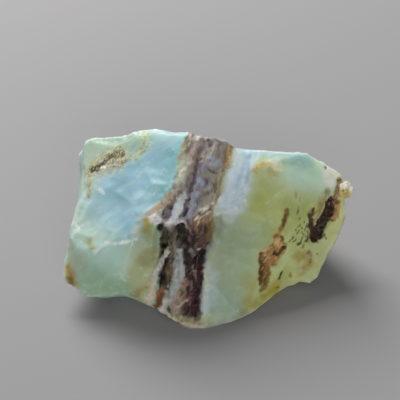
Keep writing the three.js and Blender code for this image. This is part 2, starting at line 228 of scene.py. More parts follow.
blue = zoned(shades(0.5 + 0.6 * streaks, (142, 182, 198), (162, 198, 210)), left_zones)
yellow_green = zoned(shades(0.5 + 0.6 * cloud, (174, 185, 112), (194, 201, 140)), right_zones)
growth = upright(across, 0.5, 0.07, 0.1) + 0.5 * upright(across, 1.1, 0.1, 0.14)
growth *= 0.35 + 0.65 * step(across, 13.0, 6.0)
yellow_green = wash(yellow_green, step(growth, 0.05, 0.7) * 0.35, 206, 216, 200)
yellow_green = wash(yellow_green, step(growth, -0.05, -0.7) * 0.25, 144, 162, 112)
milk = step(to_line([(6.4, 6.0, 24.0), (5.6, 0.0, 21.4), (2.4, -5.0, 18.0)]) + 0.8 * cloud, 3.4, 1.2)
milk *= step(upright(across, 1.5, 0.1, 0.16) + 0.3 * fleck, 0.0, 0.5)
yellow_green = wash(yellow_green, milk * 0.42, 226, 234, 238)
tone = blend(step(across, -1.5, 1.5), blue, yellow_green)
tone = wash(tone, step(streaks, 0.15, 0.9) * 0.15, 200, 216, 214)
hairlines = step(cracks(4.2, bent + 0.35 * fleck[:, None]), 0.045, 0.0)
hairlines *= step(cloud + 0.4 * fleck, 0.05, 0.45)
tone = wash(tone, hairlines * (0.35 - 0.25 * step(across, -2.0, 2.0)), 226, 236, 234)

# Rock band: upright sheets, dark below the ledge, weathered to grey and lilac above it. Each sheet has its
# place across the band and its colour.
front_sheets = {
    -6.0: (140, 134, 96),
    -5.0: (92, 84, 56),
    -4.4: (60, 50, 36),
    -3.4: (104, 98, 76),
    -2.2: (64, 54, 42),
    -1.4: (150, 148, 142),
    -0.4: (130, 126, 126),
    0.2: (78, 60, 60),
    1.4: (52, 38, 36),
    2.6: (66, 48, 46),
    3.6: (52, 42, 38),
    4.2: (150, 150, 152),
    5.0: (160, 168, 152),
}
top_sheets = {
    -6.0: (179, 185, 168),
    -4.3: (168, 159, 134),
    -3.4: (145, 132, 123),
    -1.4: (150, 138, 132),
    -0.8: (112, 100, 105),
    -0.2: (156, 159, 168),
    1.0: (141, 138, 143),
    2.4: (161, 152, 145),
    3.4: (156, 146, 130),
    4.0: (166, 152, 124),
    4.6: (219, 212, 192),
}


def sheeted(sheets):
    """The colours of the rock's sheets, each running over into the next."""
    colours = np.array([tint(*shade) for shade in sheets.values()])
    return np.stack([np.interp(sheet, list(sheets), colours[:, channel]) for channel in range(4)], axis=1)


rock = blend(weathered, sheeted(front_sheets), sheeted(top_sheets))
rock = wash(rock, step(fibres, -0.05, -0.6) * 0.55, 44, 34, 32)
rock = wash(rock, step(fibres, 0.15, 0.7) * 0.4, 178, 172, 166)
tone = blend(in_rock, tone, rock)
earth = in_rock * (0.95 - 0.4 * weathered)


def spread(values):
    """The mean of each point's neighbours on the skin."""
    total = np.bincount(pairs[:, 0], values[pairs[:, 1]], count)
    total += np.bincount(pairs[:, 1], values[pairs[:, 0]], count)
    return total / neighbours


def bulge(at, normals, rounds):
    """How far the skin stands out, evened over some rounds: over 0 on edges, under 0 in hollows."""
    middles = np.stack([spread(at[:, axis]) for axis in range(3)], axis=1)
    values = ((at - middles) * normals).sum(axis=1)
    for _ in range(rounds):
        values = 0.4 * values + 0.6 * spread(values)
    return values


# Height of the broken surface over the smooth body: shell-like hollows in the opal, deeper along its edges,
# ripples that spread from where the hammer hit, and sheets and grain in the rock.
strikes = ((-14.0, -14.0, 17.0), (9.0, 4.0, 26.0), (24.0, -8.0, 0.0), (-4.0, 22.0, 20.0))
SHARP_EDGE = (0.001, 0.012)
edge = step(bulge(points, outward, rounds=40), *SHARP_EDGE)
height = 0.3 * (bowls(6.5, bent) ** 2 - 0.25) * (0.4 + 0.6 * edge)
height += 0.28 * edge * (bowls(2.3, bent) ** 2 - 0.25)
height += 0.09 * lumps(3.4) + 0.03 * lumps(1.3)
for strike in strikes:
    away = np.linalg.norm(points - strike, axis=1) + 1.5 * broad
    height += 0.03 * np.sin(away * 2.6) * step(away, 22.0, 10.0)
grain = (0.28 - 0.14 * weathered) * fibres + 0.1 * lumps(0.8) + 0.25 * lumps(2.1)
height += in_rock * (grain - 0.6 * height)

# Marks in the stone, and the glints, highlights, glow and shade that are painted on it: a line of points on
# the skin, half width, width of the soft edge, strength, and the dark and the light colour. Some also have a
# rise over the skin, a share that is rough earth, coarse grains, an outline more or less torn than the
# others have, or gaps that break them up into patches.
Mark = namedtuple(
    "Mark",
    "line half soft strength dark light rise matte grainy torn patchy",
    defaults=(0.0, 0.0, 0.0, 1.0, 0.0),
)
marks = {
    # Top of the band: its margins, sheets and crests.
    "teal margin": Mark(
        [(-5.9, 0.1, 24.4), (-6.8, -1.7, 23.5), (-7.3, -3.3, 22.8), (-7.6, -4.6, 22.2)],
        0.75, 0.9, 0.95, (126, 172, 176), (142, 184, 186)),
    "weathered sheet": Mark(
        [(-2.7, 4.5, 25.9), (-3.1, 1.7, 25.1), (-3.4, -0.8, 24.1), (-3.7, -2.1, 23.2)],
        0.8, 0.8, 0.9, (146, 130, 124), (172, 160, 152), rise=0.1, matte=0.9),
    "dark weathered sheet": Mark(
        [(-2.1, 3.8, 25.7), (-2.5, 1.9, 25.0), (-2.9, 0.1, 24.4)],
        0.5, 0.6, 0.75, (122, 106, 100), (150, 138, 130), matte=1.0),
    "green margin": Mark(
        [(-4.8, 1.8, 25.0), (-4.9, -0.8, 24.2), (-5.2, -3.2, 23.4), (-5.4, -4.4, 22.7)],
        0.85, 0.9, 0.9, (156, 162, 146), (178, 182, 164), matte=0.4),
    "grey crown": Mark(
        [(0.6, 3.5, 25.2), (-0.5, 2.8, 24.9), (-1.1, 1.7, 24.5)],
        0.9, 0.8, 0.85, (160, 152, 138), (190, 184, 170), matte=1.0),
    "yellow freckles": Mark(
        [(-4.6, 3.9, 26.0), (-4.9, 1.8, 25.0), (-5.5, -0.5, 24.2)],
        0.42, 0.6, 0.75, (190, 192, 122), (182, 198, 164), matte=0.2, patchy=0.7),
    "cream margin": Mark(
        [(-4.4, -0.5, 24.3), (-5.7, -2.1, 23.6), (-4.7, -3.6, 22.9)],
        0.13, 0.25, 0.8, (212, 206, 184), (196, 190, 164), rise=0.1, matte=0.3, patchy=0.5),
    "pink crest": Mark(
        [(-3.6, 5.8, 26.8), (-3.7, 4.7, 26.3), (-3.9, 3.7, 25.8)],
        0.25, 0.4, 0.85, (228, 210, 202), (208, 194, 184), rise=0.1, matte=0.3),
    "white crest": Mark(
        [(-3.4, 5.1, 26.4), (-2.1, 5.7, 26.3), (-0.6, 5.9, 26.3)],
        0.5, 0.5, 0.85, (214, 214, 210), (182, 178, 172), rise=0.1, matte=0.5),
    "dark crest": Mark(
        [(-0.2, 5.5, 26.0), (0.4, 5.0, 25.8), (0.0, 4.3, 25.6)],
        0.35, 0.4, 0.85, (78, 70, 64), (122, 112, 102), rise=-0.2, matte=1.0),
    "shade of the slope": Mark(
        [(1.0, 5.7, 26.2), (2.7, 5.1, 25.2), (4.4, 5.4, 24.3)],
        0.28, 0.4, 0.75, (124, 120, 114), (146, 140, 132), matte=0.8),
    "white slope": Mark(
        [(1.8, 5.9, 26.0), (3.3, 5.9, 25.4), (4.6, 6.0, 24.6)],
        0.35, 0.4, 0.85, (208, 208, 204), (176, 176, 172), matte=0.5),
    "blue grey sheet": Mark(
        [(0.4, 2.3, 24.5), (1.4, 1.9, 23.7), (0.4, 1.0, 23.7)],
        0.7, 0.7, 0.85, (162, 170, 182), (186, 192, 200), matte=0.6),
    "brown of the ochre": Mark(
        [(2.7, 4.1, 24.5), (2.9, 2.5, 23.3)],
        0.35, 0.5, 0.8, (140, 112, 70), (164, 140, 100), matte=1.0),
    "ochre margin": Mark(
        [(3.9, 4.4, 24.2), (3.7, 3.0, 23.4), (3.1, 1.6, 22.7)],
        0.72, 0.5, 0.9, (176, 130, 58), (214, 184, 122), matte=1.0, grainy=0.3, patchy=0.5),
    "cream of the ochre": Mark(
        [(4.5, 4.9, 24.1), (4.3, 2.9, 23.2)],
        0.22, 0.35, 0.9, (230, 222, 200), (214, 206, 182), matte=0.2),
    "brown line": Mark(
        [(-0.3, 0.1, 23.3), (1.0, 0.1, 22.6), (2.6, 0.7, 22.3)],
        0.15, 0.25, 0.75, (100, 86, 74), (126, 112, 98), rise=-0.15, matte=1.0),
    "olive patch": Mark(
        [(-0.7, -0.9, 22.8), (0.4, -0.8, 22.2)],
        0.6, 0.7, 0.8, (150, 154, 134), (172, 174, 154), matte=0.8),
    "blue lilac sheet": Mark(
        [(-2.1, -1.9, 22.6), (-1.3, -2.3, 21.9)],
        0.5, 0.5, 0.85, (136, 152, 186), (174, 186, 208), matte=0.5),
    "grey streak": Mark(
        [(0.1, -2.1, 21.1), (-0.7, -3.0, 20.9)],
        0.5, 0.6, 0.8, (158, 160, 156), (186, 186, 180), matte=0.8),
    "olive hollow": Mark(
        [(-1.5, -3.9, 20.6), (-0.3, -3.4, 20.3)],
        0.35, 0.4, 0.85, (116, 110, 78), (152, 148, 114), rise=-0.15, matte=1.0),
    "taupe streak": Mark(
        [(0.6, -3.7, 19.8), (-0.5, -4.9, 19.3), (-1.5, -6.3, 18.8)],
        0.7, 0.7, 0.8, (166, 158, 146), (194, 186, 170), matte=0.9),
    "lower ochre margin": Mark(
        [(2.6, 0.9, 22.4), (2.4, -0.6, 21.5), (2.0, -2.3, 20.3)],
        0.65, 1.2, 0.75, (166, 154, 100), (190, 184, 146), matte=0.6, patchy=0.6),
    "ochre line": Mark(
        [(1.7, -1.2, 21.2), (1.5, -3.1, 19.9), (1.4, -4.7, 18.8)],
        0.2, 0.35, 0.25, (156, 124, 66), (180, 156, 104), matte=0.8),
    "lilac sheet": Mark(
        [(-2.4, -3.9, 21.0), (-2.9, -5.2, 20.3), (-3.1, -6.5, 19.5), (-3.6, -7.9, 18.5)],
        0.5, 0.45, 0.85, (178, 182, 198), (146, 148, 162), rise=0.1, matte=0.6),
    "red brown streak": Mark(
        [(-1.9, 1.6, 24.5), (-2.3, 0.0, 23.9), (-2.6, -1.2, 23.3)],
        0.35, 0.4, 0.85, (98, 68, 58), (142, 116, 104), rise=-0.1, matte=1.0, grainy=0.5),
    # Painted glints: small cream highlights on the weathered sheet.
    "cream glints": Mark(
        [(-1.9, 1.9, 24.7), (-2.1, 0.5, 24.1)],
        0.16, 0.25, 0.5, (222, 212, 198), (190, 176, 160), rise=0.1, matte=0.6, patchy=0.7),
    "purple line": Mark(
        [(-1.8, 0.7, 24.2), (-2.7, -2.0, 22.7), (-3.3, -3.4, 21.7), (-3.9, -4.9, 20.6),
         (-4.5, -7.2, 19.1)],
        0.27, 0.35, 1.0, (92, 82, 96), (142, 134, 142), rise=-0.3, matte=1.0),
    "dark end of the purple line": Mark(
        [(-4.3, -6.5, 19.5), (-4.7, -7.7, 18.7)],
        0.35, 0.35, 0.9, (44, 40, 52), (94, 88, 100), rise=-0.2, matte=1.0),
    # The step on the left of the band.
    "step": Mark(
        [(-7.6, -5.6, 20.8), (-9.0, -6.9, 20.0), (-10.2, -7.7, 19.2)],
        0.9, 0.6, 0.95, (174, 154, 130), (208, 196, 174), matte=0.7, grainy=0.5),
    "tan of the step": Mark(
        [(-9.1, -6.6, 20.3), (-10.4, -7.2, 19.5), (-11.4, -7.8, 18.8)],
        0.45, 0.8, 0.85, (196, 168, 138), (216, 202, 178), matte=0.5),
    "brown of the step": Mark(
        [(-7.8, -6.3, 19.9), (-8.6, -7.0, 19.6)],
        0.5, 0.5, 0.85, (120, 96, 78), (164, 142, 120), matte=1.0),
    "grey hollow of the step": Mark(
        [(-7.4, -6.6, 19.7), (-8.3, -7.9, 18.9)],
        0.65, 0.5, 0.9, (84, 78, 84), (142, 136, 136), rise=-0.35, matte=1.0),
    "pink of the step": Mark(
        [(-9.2, -6.9, 19.9), (-8.6, -6.7, 20.2)],
        0.25, 0.4, 0.8, (210, 164, 136), (200, 176, 154), matte=0.5),
    "upper ridge of the step": Mark(
        [(-5.9, -4.8, 22.2), (-7.0, -5.0, 21.6), (-8.4, -6.0, 20.9)],
        0.45, 0.5, 0.9, (212, 202, 180), (178, 158, 130), rise=0.1, matte=0.5),
    "ridge of the step": Mark(
        [(-9.3, -6.2, 20.6), (-10.6, -6.7, 19.9), (-11.9, -7.3, 19.1), (-12.8, -8.0, 18.3)],
        0.3, 0.8, 0.8, (238, 234, 224), (214, 208, 192), rise=0.1, matte=0.2, patchy=0.4),
    # The white sheet down the top of the band, the lips of the ledge at its foot and milky lines beside it.
    "white sheet above": Mark(
        [(-5.2, -5.3, 20.7), (-5.6, -6.4, 19.9), (-6.3, -8.3, 18.6)],
        0.85, 0.5, 0.95, (232, 240, 242), (212, 220, 228), rise=0.12, matte=0.3),
    "tip of the white sheet": Mark(
        [(-4.4, -4.0, 21.9), (-4.8, -4.8, 21.2), (-5.2, -5.4, 20.5)],
        0.3, 0.5, 0.9, (214, 220, 212), (186, 192, 186), rise=0.08, matte=0.3),
    # Painted shade: bluish shading down the left side of the white sheet.
    "blue painted shade on the white sheet": Mark(
        [(-6.5, -6.9, 19.9), (-6.8, -7.7, 19.1), (-7.0, -8.5, 18.5)],
        0.25, 0.4, 0.6, (160, 172, 204), (180, 188, 212), matte=0.3),
    "upper milk line": Mark(
        [(1.8, -3.8, 19.3), (3.4, -3.4, 19.1)],
        0.14, 0.3, 0.8, (228, 232, 240), (204, 212, 224), matte=0.35),
    "lower milk line": Mark(
        [(2.2, -4.5, 18.7), (3.8, -4.0, 18.2)],
        0.14, 0.3, 0.8, (228, 232, 240), (204, 212, 224), matte=0.35),
    "white corner of the step": Mark(
        [(-11.7, -8.2, 18.4), (-10.5, -8.1, 18.7), (-9.3, -8.5, 18.7)],
        0.5, 0.6, 0.85, (234, 234, 234), (206, 200, 198), matte=0.4),
    "white lip of the ledge": Mark(
        [(-10.5, -8.6, 18.4), (-9.8, -8.9, 18.4), (-8.9, -8.7, 18.5)],
        0.5, 0.5, 0.85, (226, 222, 226), (184, 176, 182), rise=0.2, matte=0.5, torn=1.6),
    "middle lip of the ledge": Mark(
        [(-8.1, -9.3, 18.0), (-7.0, -9.3, 18.2), (-6.0, -8.7, 17.9), (-4.9, -8.6, 18.2)],
        0.4, 0.45, 0.85, (228, 228, 230), (192, 188, 190), rise=0.2, matte=0.5, torn=1.6, patchy=0.4),
    "right lip of the ledge": Mark(
        [(-3.3, -7.8, 18.6), (-2.3, -7.0, 18.8), (-1.3, -6.0, 18.9), (0.6, -4.9, 19.1)],
        0.24, 0.3, 0.8, (238, 232, 219), (185, 172, 154), rise=0.2, matte=0.5),
    "foot of the white sheet": Mark(
        [(-8.0, -9.3, 18.0), (-6.6, -8.7, 18.4), (-5.1, -8.1, 18.4)],
        0.5, 0.5, 0.85, (222, 222, 226), (178, 172, 178), rise=0.1, matte=0.5, patchy=0.35),
    # Front of the band under the ledge, with its margins and the pale whiskers on its brow.
    "blue margin": Mark(
        [(1.0, -12.4, 8.3), (0.6, -14.4, 5.1), (-0.5, -16.1, 2.9)],
        0.8, 1.8, 0.6, (186, 206, 208), (176, 196, 196)),
    "pale margin": Mark(
        [(-0.1, -11.6, 10.1), (-0.1, -13.2, 7.5), (-0.9, -15.0, 4.9), (-1.4, -16.3, 2.8)],
        0.55, 1.6, 0.65, (206, 214, 216), (186, 198, 200), rise=0.1),
    "dark field": Mark(
        [(-9.0, -9.2, 17.5), (-8.2, -9.7, 16.0), (-8.5, -10.1, 14.4), (-8.6, -11.0, 12.8)],
        0.75, 0.6, 0.9, (26, 22, 16), (84, 78, 52), rise=-0.2, matte=1.0),
    "right dark field": Mark(
        [(-5.3, -8.6, 16.9), (-4.8, -9.1, 15.3), (-5.5, -9.7, 14.4)],
        0.8, 0.6, 0.9, (24, 21, 16), (62, 58, 44), rise=-0.2, matte=1.0),
    "olive wedge": Mark(
        [(-7.3, -11.9, 9.8), (-7.5, -12.7, 7.6), (-7.9, -13.2, 6.0)],
        0.7, 0.5, 0.95, (104, 90, 56), (70, 58, 38), matte=1.0),
    "tan streak": Mark(
        [(-7.1, -11.7, 10.2), (-7.2, -12.4, 8.6)],
        0.2, 0.3, 0.8, (146, 108, 68), (120, 90, 58), matte=1.0),
    "grey column": Mark(
        [(-6.7, -9.4, 17.0), (-6.5, -9.8, 15.2), (-6.7, -10.4, 13.5), (-6.6, -11.0, 12.0)],
        0.3, 0.45, 0.9, (150, 146, 118), (104, 98, 76), rise=0.1, matte=0.8),
    "olive specks": Mark(
        [(-8.3, -9.6, 16.4), (-8.0, -10.0, 15.4), (-8.2, -10.4, 14.0)],
        0.6, 0.5, 0.9, (30, 26, 18), (98, 92, 66), rise=-0.3, matte=1.0),
    # Painted shade: black for the shadow deep in a hole, where the skin only dips a little.
    "left cavity": Mark(
        [(-9.2, -9.5, 18.0), (-8.9, -9.4, 16.8), (-7.9, -9.5, 16.9)],
        0.2, 0.4, 1.0, (22, 18, 14), (52, 46, 32), rise=-0.5, matte=1.0, torn=1.5),
    # Painted shade: black for the shadow deep in a seam.
    "left seam in painted shade": Mark(
        [(-8.7, -10.4, 13.8), (-8.9, -10.9, 12.5), (-9.0, -11.3, 11.1)],
        0.42, 0.35, 1.0, (20, 17, 14), (40, 33, 25), rise=-0.5, matte=1.0),
    # Painted shade: black for the shadow deep in a hole.
    "right cavity": Mark(
        [(-5.4, -8.6, 16.9), (-5.1, -8.8, 16.1), (-5.5, -9.3, 15.3)],
        0.27, 0.4, 1.0, (20, 16, 13), (50, 45, 34), rise=-0.6, matte=1.0, torn=1.5),
    # Painted shade: dark for the shadow in a hollow.
    "right hollow": Mark(
        [(-6.0, -9.5, 15.1), (-5.1, -9.4, 14.9)],
        0.5, 0.4, 0.95, (38, 35, 25), (84, 82, 60), rise=-0.4, matte=1.0),
    "grey below the hole": Mark(
        [(-5.8, -10.2, 14.2), (-5.4, -10.8, 13.2)],
        0.6, 0.6, 0.85, (126, 122, 110), (86, 80, 72), matte=0.8),
    # Painted shade: dark for the shadow in small pits.
    "lower pits": Mark(
        [(-4.6, -9.6, 14.3), (-3.6, -10.3, 14.1), (-3.3, -10.5, 14.1)],
        0.3, 0.35, 0.9, (26, 22, 20), (70, 62, 58), rise=-0.3, matte=1.0),
    "white slip": Mark(
        [(-7.9, -11.2, 13.2), (-8.6, -11.5, 11.5), (-9.6, -11.8, 9.2), (-10.3, -12.3, 6.7)],
        0.5, 0.35, 0.95, (212, 210, 200), (172, 168, 158), rise=0.2, matte=0.4),
    "cream foot": Mark(
        [(-11.0, -12.5, 5.8), (-10.6, -12.9, 4.4), (-11.7, -13.5, 2.2)],
        0.75, 0.8, 0.9, (214, 206, 190), (196, 186, 160), rise=0.1, matte=0.2),
    # Painted shade: black for the shadow in a deep slanting hollow.
    "slant in painted shade": Mark(
        [(-7.6, -11.4, 11.4), (-8.0, -11.9, 10.6), (-8.4, -12.4, 9.6)],
        0.5, 0.4, 1.0, (18, 14, 15), (36, 28, 26), rise=-0.5, matte=1.0),
    # Painted shade: black for the shadow in a deep hollow.
    "blob in painted shade": Mark(
        [(-8.8, -12.6, 8.6), (-8.9, -13.0, 7.6), (-9.1, -13.2, 6.9)],
        0.78, 0.4, 1.0, (16, 12, 16), (34, 26, 30), rise=-0.5, matte=1.0),
    "rusty foot": Mark(
        [(-9.2, -13.8, 5.0), (-9.6, -14.2, 3.3), (-10.1, -14.1, 1.6)],
        0.75, 0.5, 0.95, (156, 98, 48), (108, 70, 40), matte=1.0),
    "brown foot": Mark(
        [(-8.9, -13.8, 4.5), (-9.1, -14.3, 3.2)],
        0.3, 0.35, 0.9, (90, 50, 30), (112, 70, 42), rise=-0.1, matte=1.0),
    "white sheet below": Mark(
        [(-5.5, -11.2, 12.7), (-5.5, -12.3, 10.8), (-5.6, -12.9, 9.3), (-6.2, -13.5, 7.3),
         (-7.0, -14.1, 5.6), (-8.0, -14.3, 3.4), (-8.9, -14.7, 1.5)],
        0.95, 0.4, 0.95, (172, 176, 178), (142, 144, 144), rise=0.2, matte=0.2),
    # Painted shade: a white sheet painted grey where it lies in shadow.
    "lower white sheet in painted shade": Mark(
        [(-5.5, -12.4, 10.5), (-5.8, -13.3, 8.2), (-6.6, -14.0, 6.0), (-7.3, -14.9, 3.6)],
        0.95, 0.45, 0.9, (176, 182, 178), (148, 152, 150), rise=0.05, matte=0.1),
    "pink end": Mark(
        [(-8.0, -14.2, 3.6), (-9.0, -14.8, 1.5), (-8.5, -15.2, 1.2)],
        0.7, 0.9, 0.9, (216, 204, 192), (192, 178, 166), rise=0.1, matte=0.2),
    "dark fibres": Mark(
        [(-2.5, -11.9, 10.4), (-2.4, -13.3, 7.2), (-2.7, -15.0, 4.4), (-2.4, -16.4, 2.5)],
        0.9, 0.6, 0.85, (28, 17, 19), (48, 32, 30), rise=-0.15, matte=1.0),
    "brown fibres": Mark(
        [(-4.0, -12.1, 10.6), (-3.8, -12.7, 8.6), (-4.0, -13.4, 6.7)],
        0.55, 0.5, 0.85, (66, 50, 38), (34, 25, 22), matte=1.0),
    "tan fibres": Mark(
        [(-4.6, -13.3, 7.6), (-5.1, -14.0, 5.7), (-5.9, -15.0, 4.1), (-6.3, -15.6, 2.7)],
        0.8, 0.6, 0.85, (184, 158, 136), (124, 98, 82), rise=0.05, matte=1.0, patchy=0.3),
    "purple fibres": Mark(
        [(-1.6, -12.1, 9.8), (-1.8, -13.3, 7.6), (-2.4, -14.5, 5.2), (-3.1, -16.0, 2.8)],
        0.5, 0.4, 0.9, (42, 16, 26), (76, 42, 54), rise=-0.1, matte=1.0),
    "lower purple": Mark(
        [(-3.7, -14.3, 5.0), (-3.7, -15.3, 3.4)],
        0.4, 0.4, 0.8, (88, 46, 58), (134, 98, 98), matte=1.0),
    "first thread": Mark(
        [(-3.1, -11.9, 10.4), (-3.3, -12.6, 8.5)],
        0.12, 0.25, 0.55, (180, 154, 148), (150, 124, 118), rise=0.1, matte=0.8),
    "second thread": Mark(
        [(-3.3, -13.1, 7.4), (-3.5, -13.8, 5.8)],
        0.12, 0.25, 0.55, (176, 146, 138), (150, 118, 110), rise=0.1, matte=0.8),
    "third thread": Mark(
        [(-2.7, -12.3, 9.3), (-2.6, -13.2, 7.4)],
        0.1, 0.25, 0.55, (194, 172, 168), (150, 124, 122), rise=0.1, matte=0.8),
    # Painted glint: a small highlight on the tan fibres.
    "tan glint": Mark(
        [(-5.9, -15.5, 3.0), (-5.0, -15.1, 3.7), (-4.2, -14.8, 4.2)],
        0.14, 0.3, 0.7, (232, 212, 190), (206, 180, 156), rise=0.1, matte=0.5, patchy=0.4),
    "olive foot": Mark(
        [(-5.9, -16.4, 1.0), (-4.0, -17.1, 0.8), (-2.0, -17.6, 0.7)],
        0.9, 0.9, 0.9, (178, 168, 134), (152, 140, 110), rise=0.1, matte=0.4),
    "foot crack": Mark(
        [(-2.0, -16.5, 2.3), (-2.2, -17.2, 1.3)],
        0.25, 0.4, 0.85, (92, 70, 56), (122, 98, 78), rise=-0.1, matte=1.0),
    # Partly the cream of the thin lower edge and partly a painted glow of light shining through it.
    "cream edge and painted glow": Mark(
        [(-7.4, -15.8, 1.0), (-5.0, -17.4, 0.4), (-3.1, -18.0, 0.2), (-0.9, -17.9, 0.5)],
        0.35, 0.5, 0.9, (218, 210, 180), (196, 186, 156), rise=0.1, matte=0.2),
    "dark line": Mark(
        [(-4.4, -9.5, 14.6), (-4.2, -10.3, 13.9), (-4.5, -11.2, 13.0), (-4.2, -12.0, 11.2)],
        0.42, 0.4, 0.95, (26, 20, 20), (64, 54, 56), rise=-0.4, matte=1.0),
    "dark brow": Mark(
        [(-4.3, -9.8, 14.3), (-3.2, -10.0, 14.1)],
        0.55, 0.5, 0.9, (34, 28, 28), (78, 68, 68), rise=-0.2, matte=1.0),
    "grey patch": Mark(
        [(-3.4, -10.9, 13.2), (-3.1, -11.2, 12.2)],
        0.42, 0.5, 0.85, (146, 142, 144), (106, 100, 102), matte=0.8),
    # Painted shade: black for the shadow in a deep hollow.
    "spot in painted shade": Mark(
        [(-2.4, -11.4, 11.5), (-1.5, -11.0, 12.0), (-1.2, -10.6, 12.3)],
        0.68, 0.4, 1.0, (18, 13, 14), (36, 27, 27), rise=-0.5, matte=1.0),
    "red sheet": Mark(
        [(-3.8, -8.5, 18.2), (-3.7, -9.1, 17.0)],
        0.3, 0.4, 0.85, (118, 64, 58), (90, 54, 50), rise=-0.1, matte=1.0),
    "rusty brow": Mark(
        [(-2.3, -8.5, 17.4), (-2.0, -8.9, 16.1)],
        0.85, 0.7, 0.9, (108, 74, 48), (152, 116, 78), rise=0.1, matte=1.0),
    "purple brow": Mark(
        [(-1.6, -8.7, 16.1), (-1.4, -9.3, 14.8), (-1.6, -10.1, 13.5)],
        0.75, 0.6, 0.9, (106, 82, 78), (78, 58, 56), matte=1.0),
    "rusty side": Mark(
        [(0.0, -7.2, 17.0), (0.2, -7.8, 15.6), (-0.1, -8.7, 14.4)],
        0.75, 1.1, 0.9, (148, 110, 54), (116, 86, 44), matte=1.0, patchy=0.4),
    "faded rust": Mark(
        [(1.0, -6.7, 17.1), (1.0, -7.7, 15.2)],
        0.5, 1.5, 0.65, (150, 136, 88), (146, 142, 104), matte=0.3),
    "tan brow": Mark(
        [(-2.9, -8.1, 18.3), (-1.6, -7.9, 17.9), (-0.2, -7.0, 17.6)],
        0.45, 0.5, 0.85, (172, 138, 96), (136, 106, 74), matte=1.0),
    # Painted glints on the rusty brow.
    "glints on the brow": Mark(
        [(-3.6, -9.2, 16.8), (-3.3, -9.6, 16.0), (-2.3, -9.5, 15.2)],
        0.12, 0.25, 0.85, (206, 184, 164), (170, 140, 116), rise=0.1, matte=0.6, patchy=0.7),
    "brow glint": Mark(
        [(-2.3, -10.6, 13.2), (-1.9, -10.5, 13.1)],
        0.2, 0.3, 0.9, (218, 200, 190), (190, 166, 152), rise=0.1, matte=0.4),
    # Painted shade: grey-green shadow on the opal beside the rusty side.
    "opal in painted shade by the rust": Mark(
        [(2.2, -6.2, 16.8), (2.5, -6.9, 15.2), (1.7, -7.8, 14.3)],
        0.7, 1.8, 0.6, (124, 136, 120), (136, 148, 132)),
    "first whisker": Mark(
        [(-1.1, -6.1, 18.7), (-2.0, -7.2, 18.5), (-2.7, -8.2, 18.2)],
        0.17, 0.22, 0.95, (242, 234, 216), (210, 194, 170), rise=0.15, matte=0.4),
    "second whisker": Mark(
        [(0.0, -6.0, 18.3), (-1.0, -7.0, 18.2), (-2.1, -7.9, 18.2)],
        0.15, 0.22, 0.9, (236, 226, 206), (200, 182, 156), rise=0.12, matte=0.4),
    "third whisker": Mark(
        [(1.9, -5.7, 17.8), (0.7, -6.6, 17.5), (-0.2, -7.2, 17.2)],
        0.15, 0.25, 0.85, (222, 204, 174), (190, 166, 130), rise=0.1, matte=0.4, patchy=0.3),
    "fourth whisker": Mark(
        [(-1.8, -8.0, 18.1), (-2.3, -8.6, 17.2)],
        0.12, 0.2, 0.8, (224, 208, 186), (190, 166, 140), rise=0.1, matte=0.4),
    # Stains on the slab and the heel, on the left.
    "slab edge": Mark(
        [(-9.3, -10.7, 12.7), (-10.1, -11.3, 10.9), (-10.8, -12.3, 8.7), (-11.3, -12.6, 7.0)],
        0.25, 0.4, 0.9, (176, 166, 116), (198, 192, 150), rise=0.1, matte=0.3, patchy=0.5),
    "slab spot": Mark(
        [(-11.6, -8.6, 18.1), (-11.3, -9.3, 17.5), (-11.9, -9.7, 16.7)],
        0.6, 1.1, 0.9, (172, 154, 60), (164, 156, 90), matte=0.1),
    "slab stain": Mark(
        [(-14.0, -12.9, 3.4), (-12.8, -12.9, 4.9), (-11.8, -12.9, 5.6)],
        0.7, 1.5, 0.85, (158, 132, 64), (158, 146, 92), matte=0.3, grainy=0.3, patchy=0.4),
    "heel stain": Mark(
        [(-26.6, -9.3, 7.2), (-26.1, -10.6, 6.6), (-25.7, -11.7, 5.5)],
        0.9, 2.6, 1.0, (184, 140, 40), (138, 110, 42), matte=0.2, grainy=0.2, patchy=0.15),
    "heel shade": Mark(
        [(-26.2, -11.1, 6.1), (-25.9, -11.7, 5.4)],
        0.6, 1.0, 0.85, (126, 94, 26), (106, 82, 34), matte=0.3),
    "ochre spot": Mark(
        [(-22.3, -7.9, 12.9), (-21.9, -9.3, 12.5)],
        0.7, 1.4, 0.75, (166, 156, 80), (184, 184, 124), matte=0.2),
    # Moss-like growth and yellow dust on top, on the left.
    "moss field": Mark(
        [(-22.6, 6.0, 18.8), (-21.3, 7.1, 20.0), (-19.3, 7.6, 21.2), (-17.6, 7.3, 22.0),
         (-16.2, 5.8, 22.1)],
        1.3, 1.8, 0.8, (160, 150, 92), (204, 206, 168), matte=0.2, grainy=0.5, patchy=0.4),
    "moss foot": Mark(
        [(-22.3, 4.5, 18.6), (-19.7, 3.9, 19.8), (-16.9, 3.2, 20.8)],
        0.8, 1.6, 0.6, (190, 184, 146), (206, 210, 190), matte=0.1, grainy=0.4, patchy=0.5),
    "moss edge": Mark(
        [(-23.3, 5.4, 18.2), (-23.0, 3.0, 17.7), (-22.9, 0.6, 16.7)],
        0.5, 0.8, 0.85, (136, 126, 72), (188, 184, 140), matte=0.3, grainy=0.6, patchy=0.6),
    "middle moss": Mark(
        [(-21.6, 5.6, 19.3), (-19.8, 5.8, 20.4), (-18.1, 5.5, 21.1), (-16.4, 4.7, 21.6)],
        0.9, 0.8, 0.95, (140, 124, 80), (208, 200, 162), matte=0.6, grainy=0.8, patchy=0.4),
    "upper moss": Mark(
        [(-19.6, 6.7, 20.7), (-18.2, 7.0, 21.5), (-16.7, 6.5, 22.1)],
        0.75, 0.8, 0.95, (58, 50, 30), (140, 128, 84), matte=0.7, grainy=0.9, patchy=0.5),
    "lower moss": Mark(
        [(-22.3, 5.7, 19.0), (-21.0, 5.7, 19.7), (-20.2, 5.8, 20.2)],
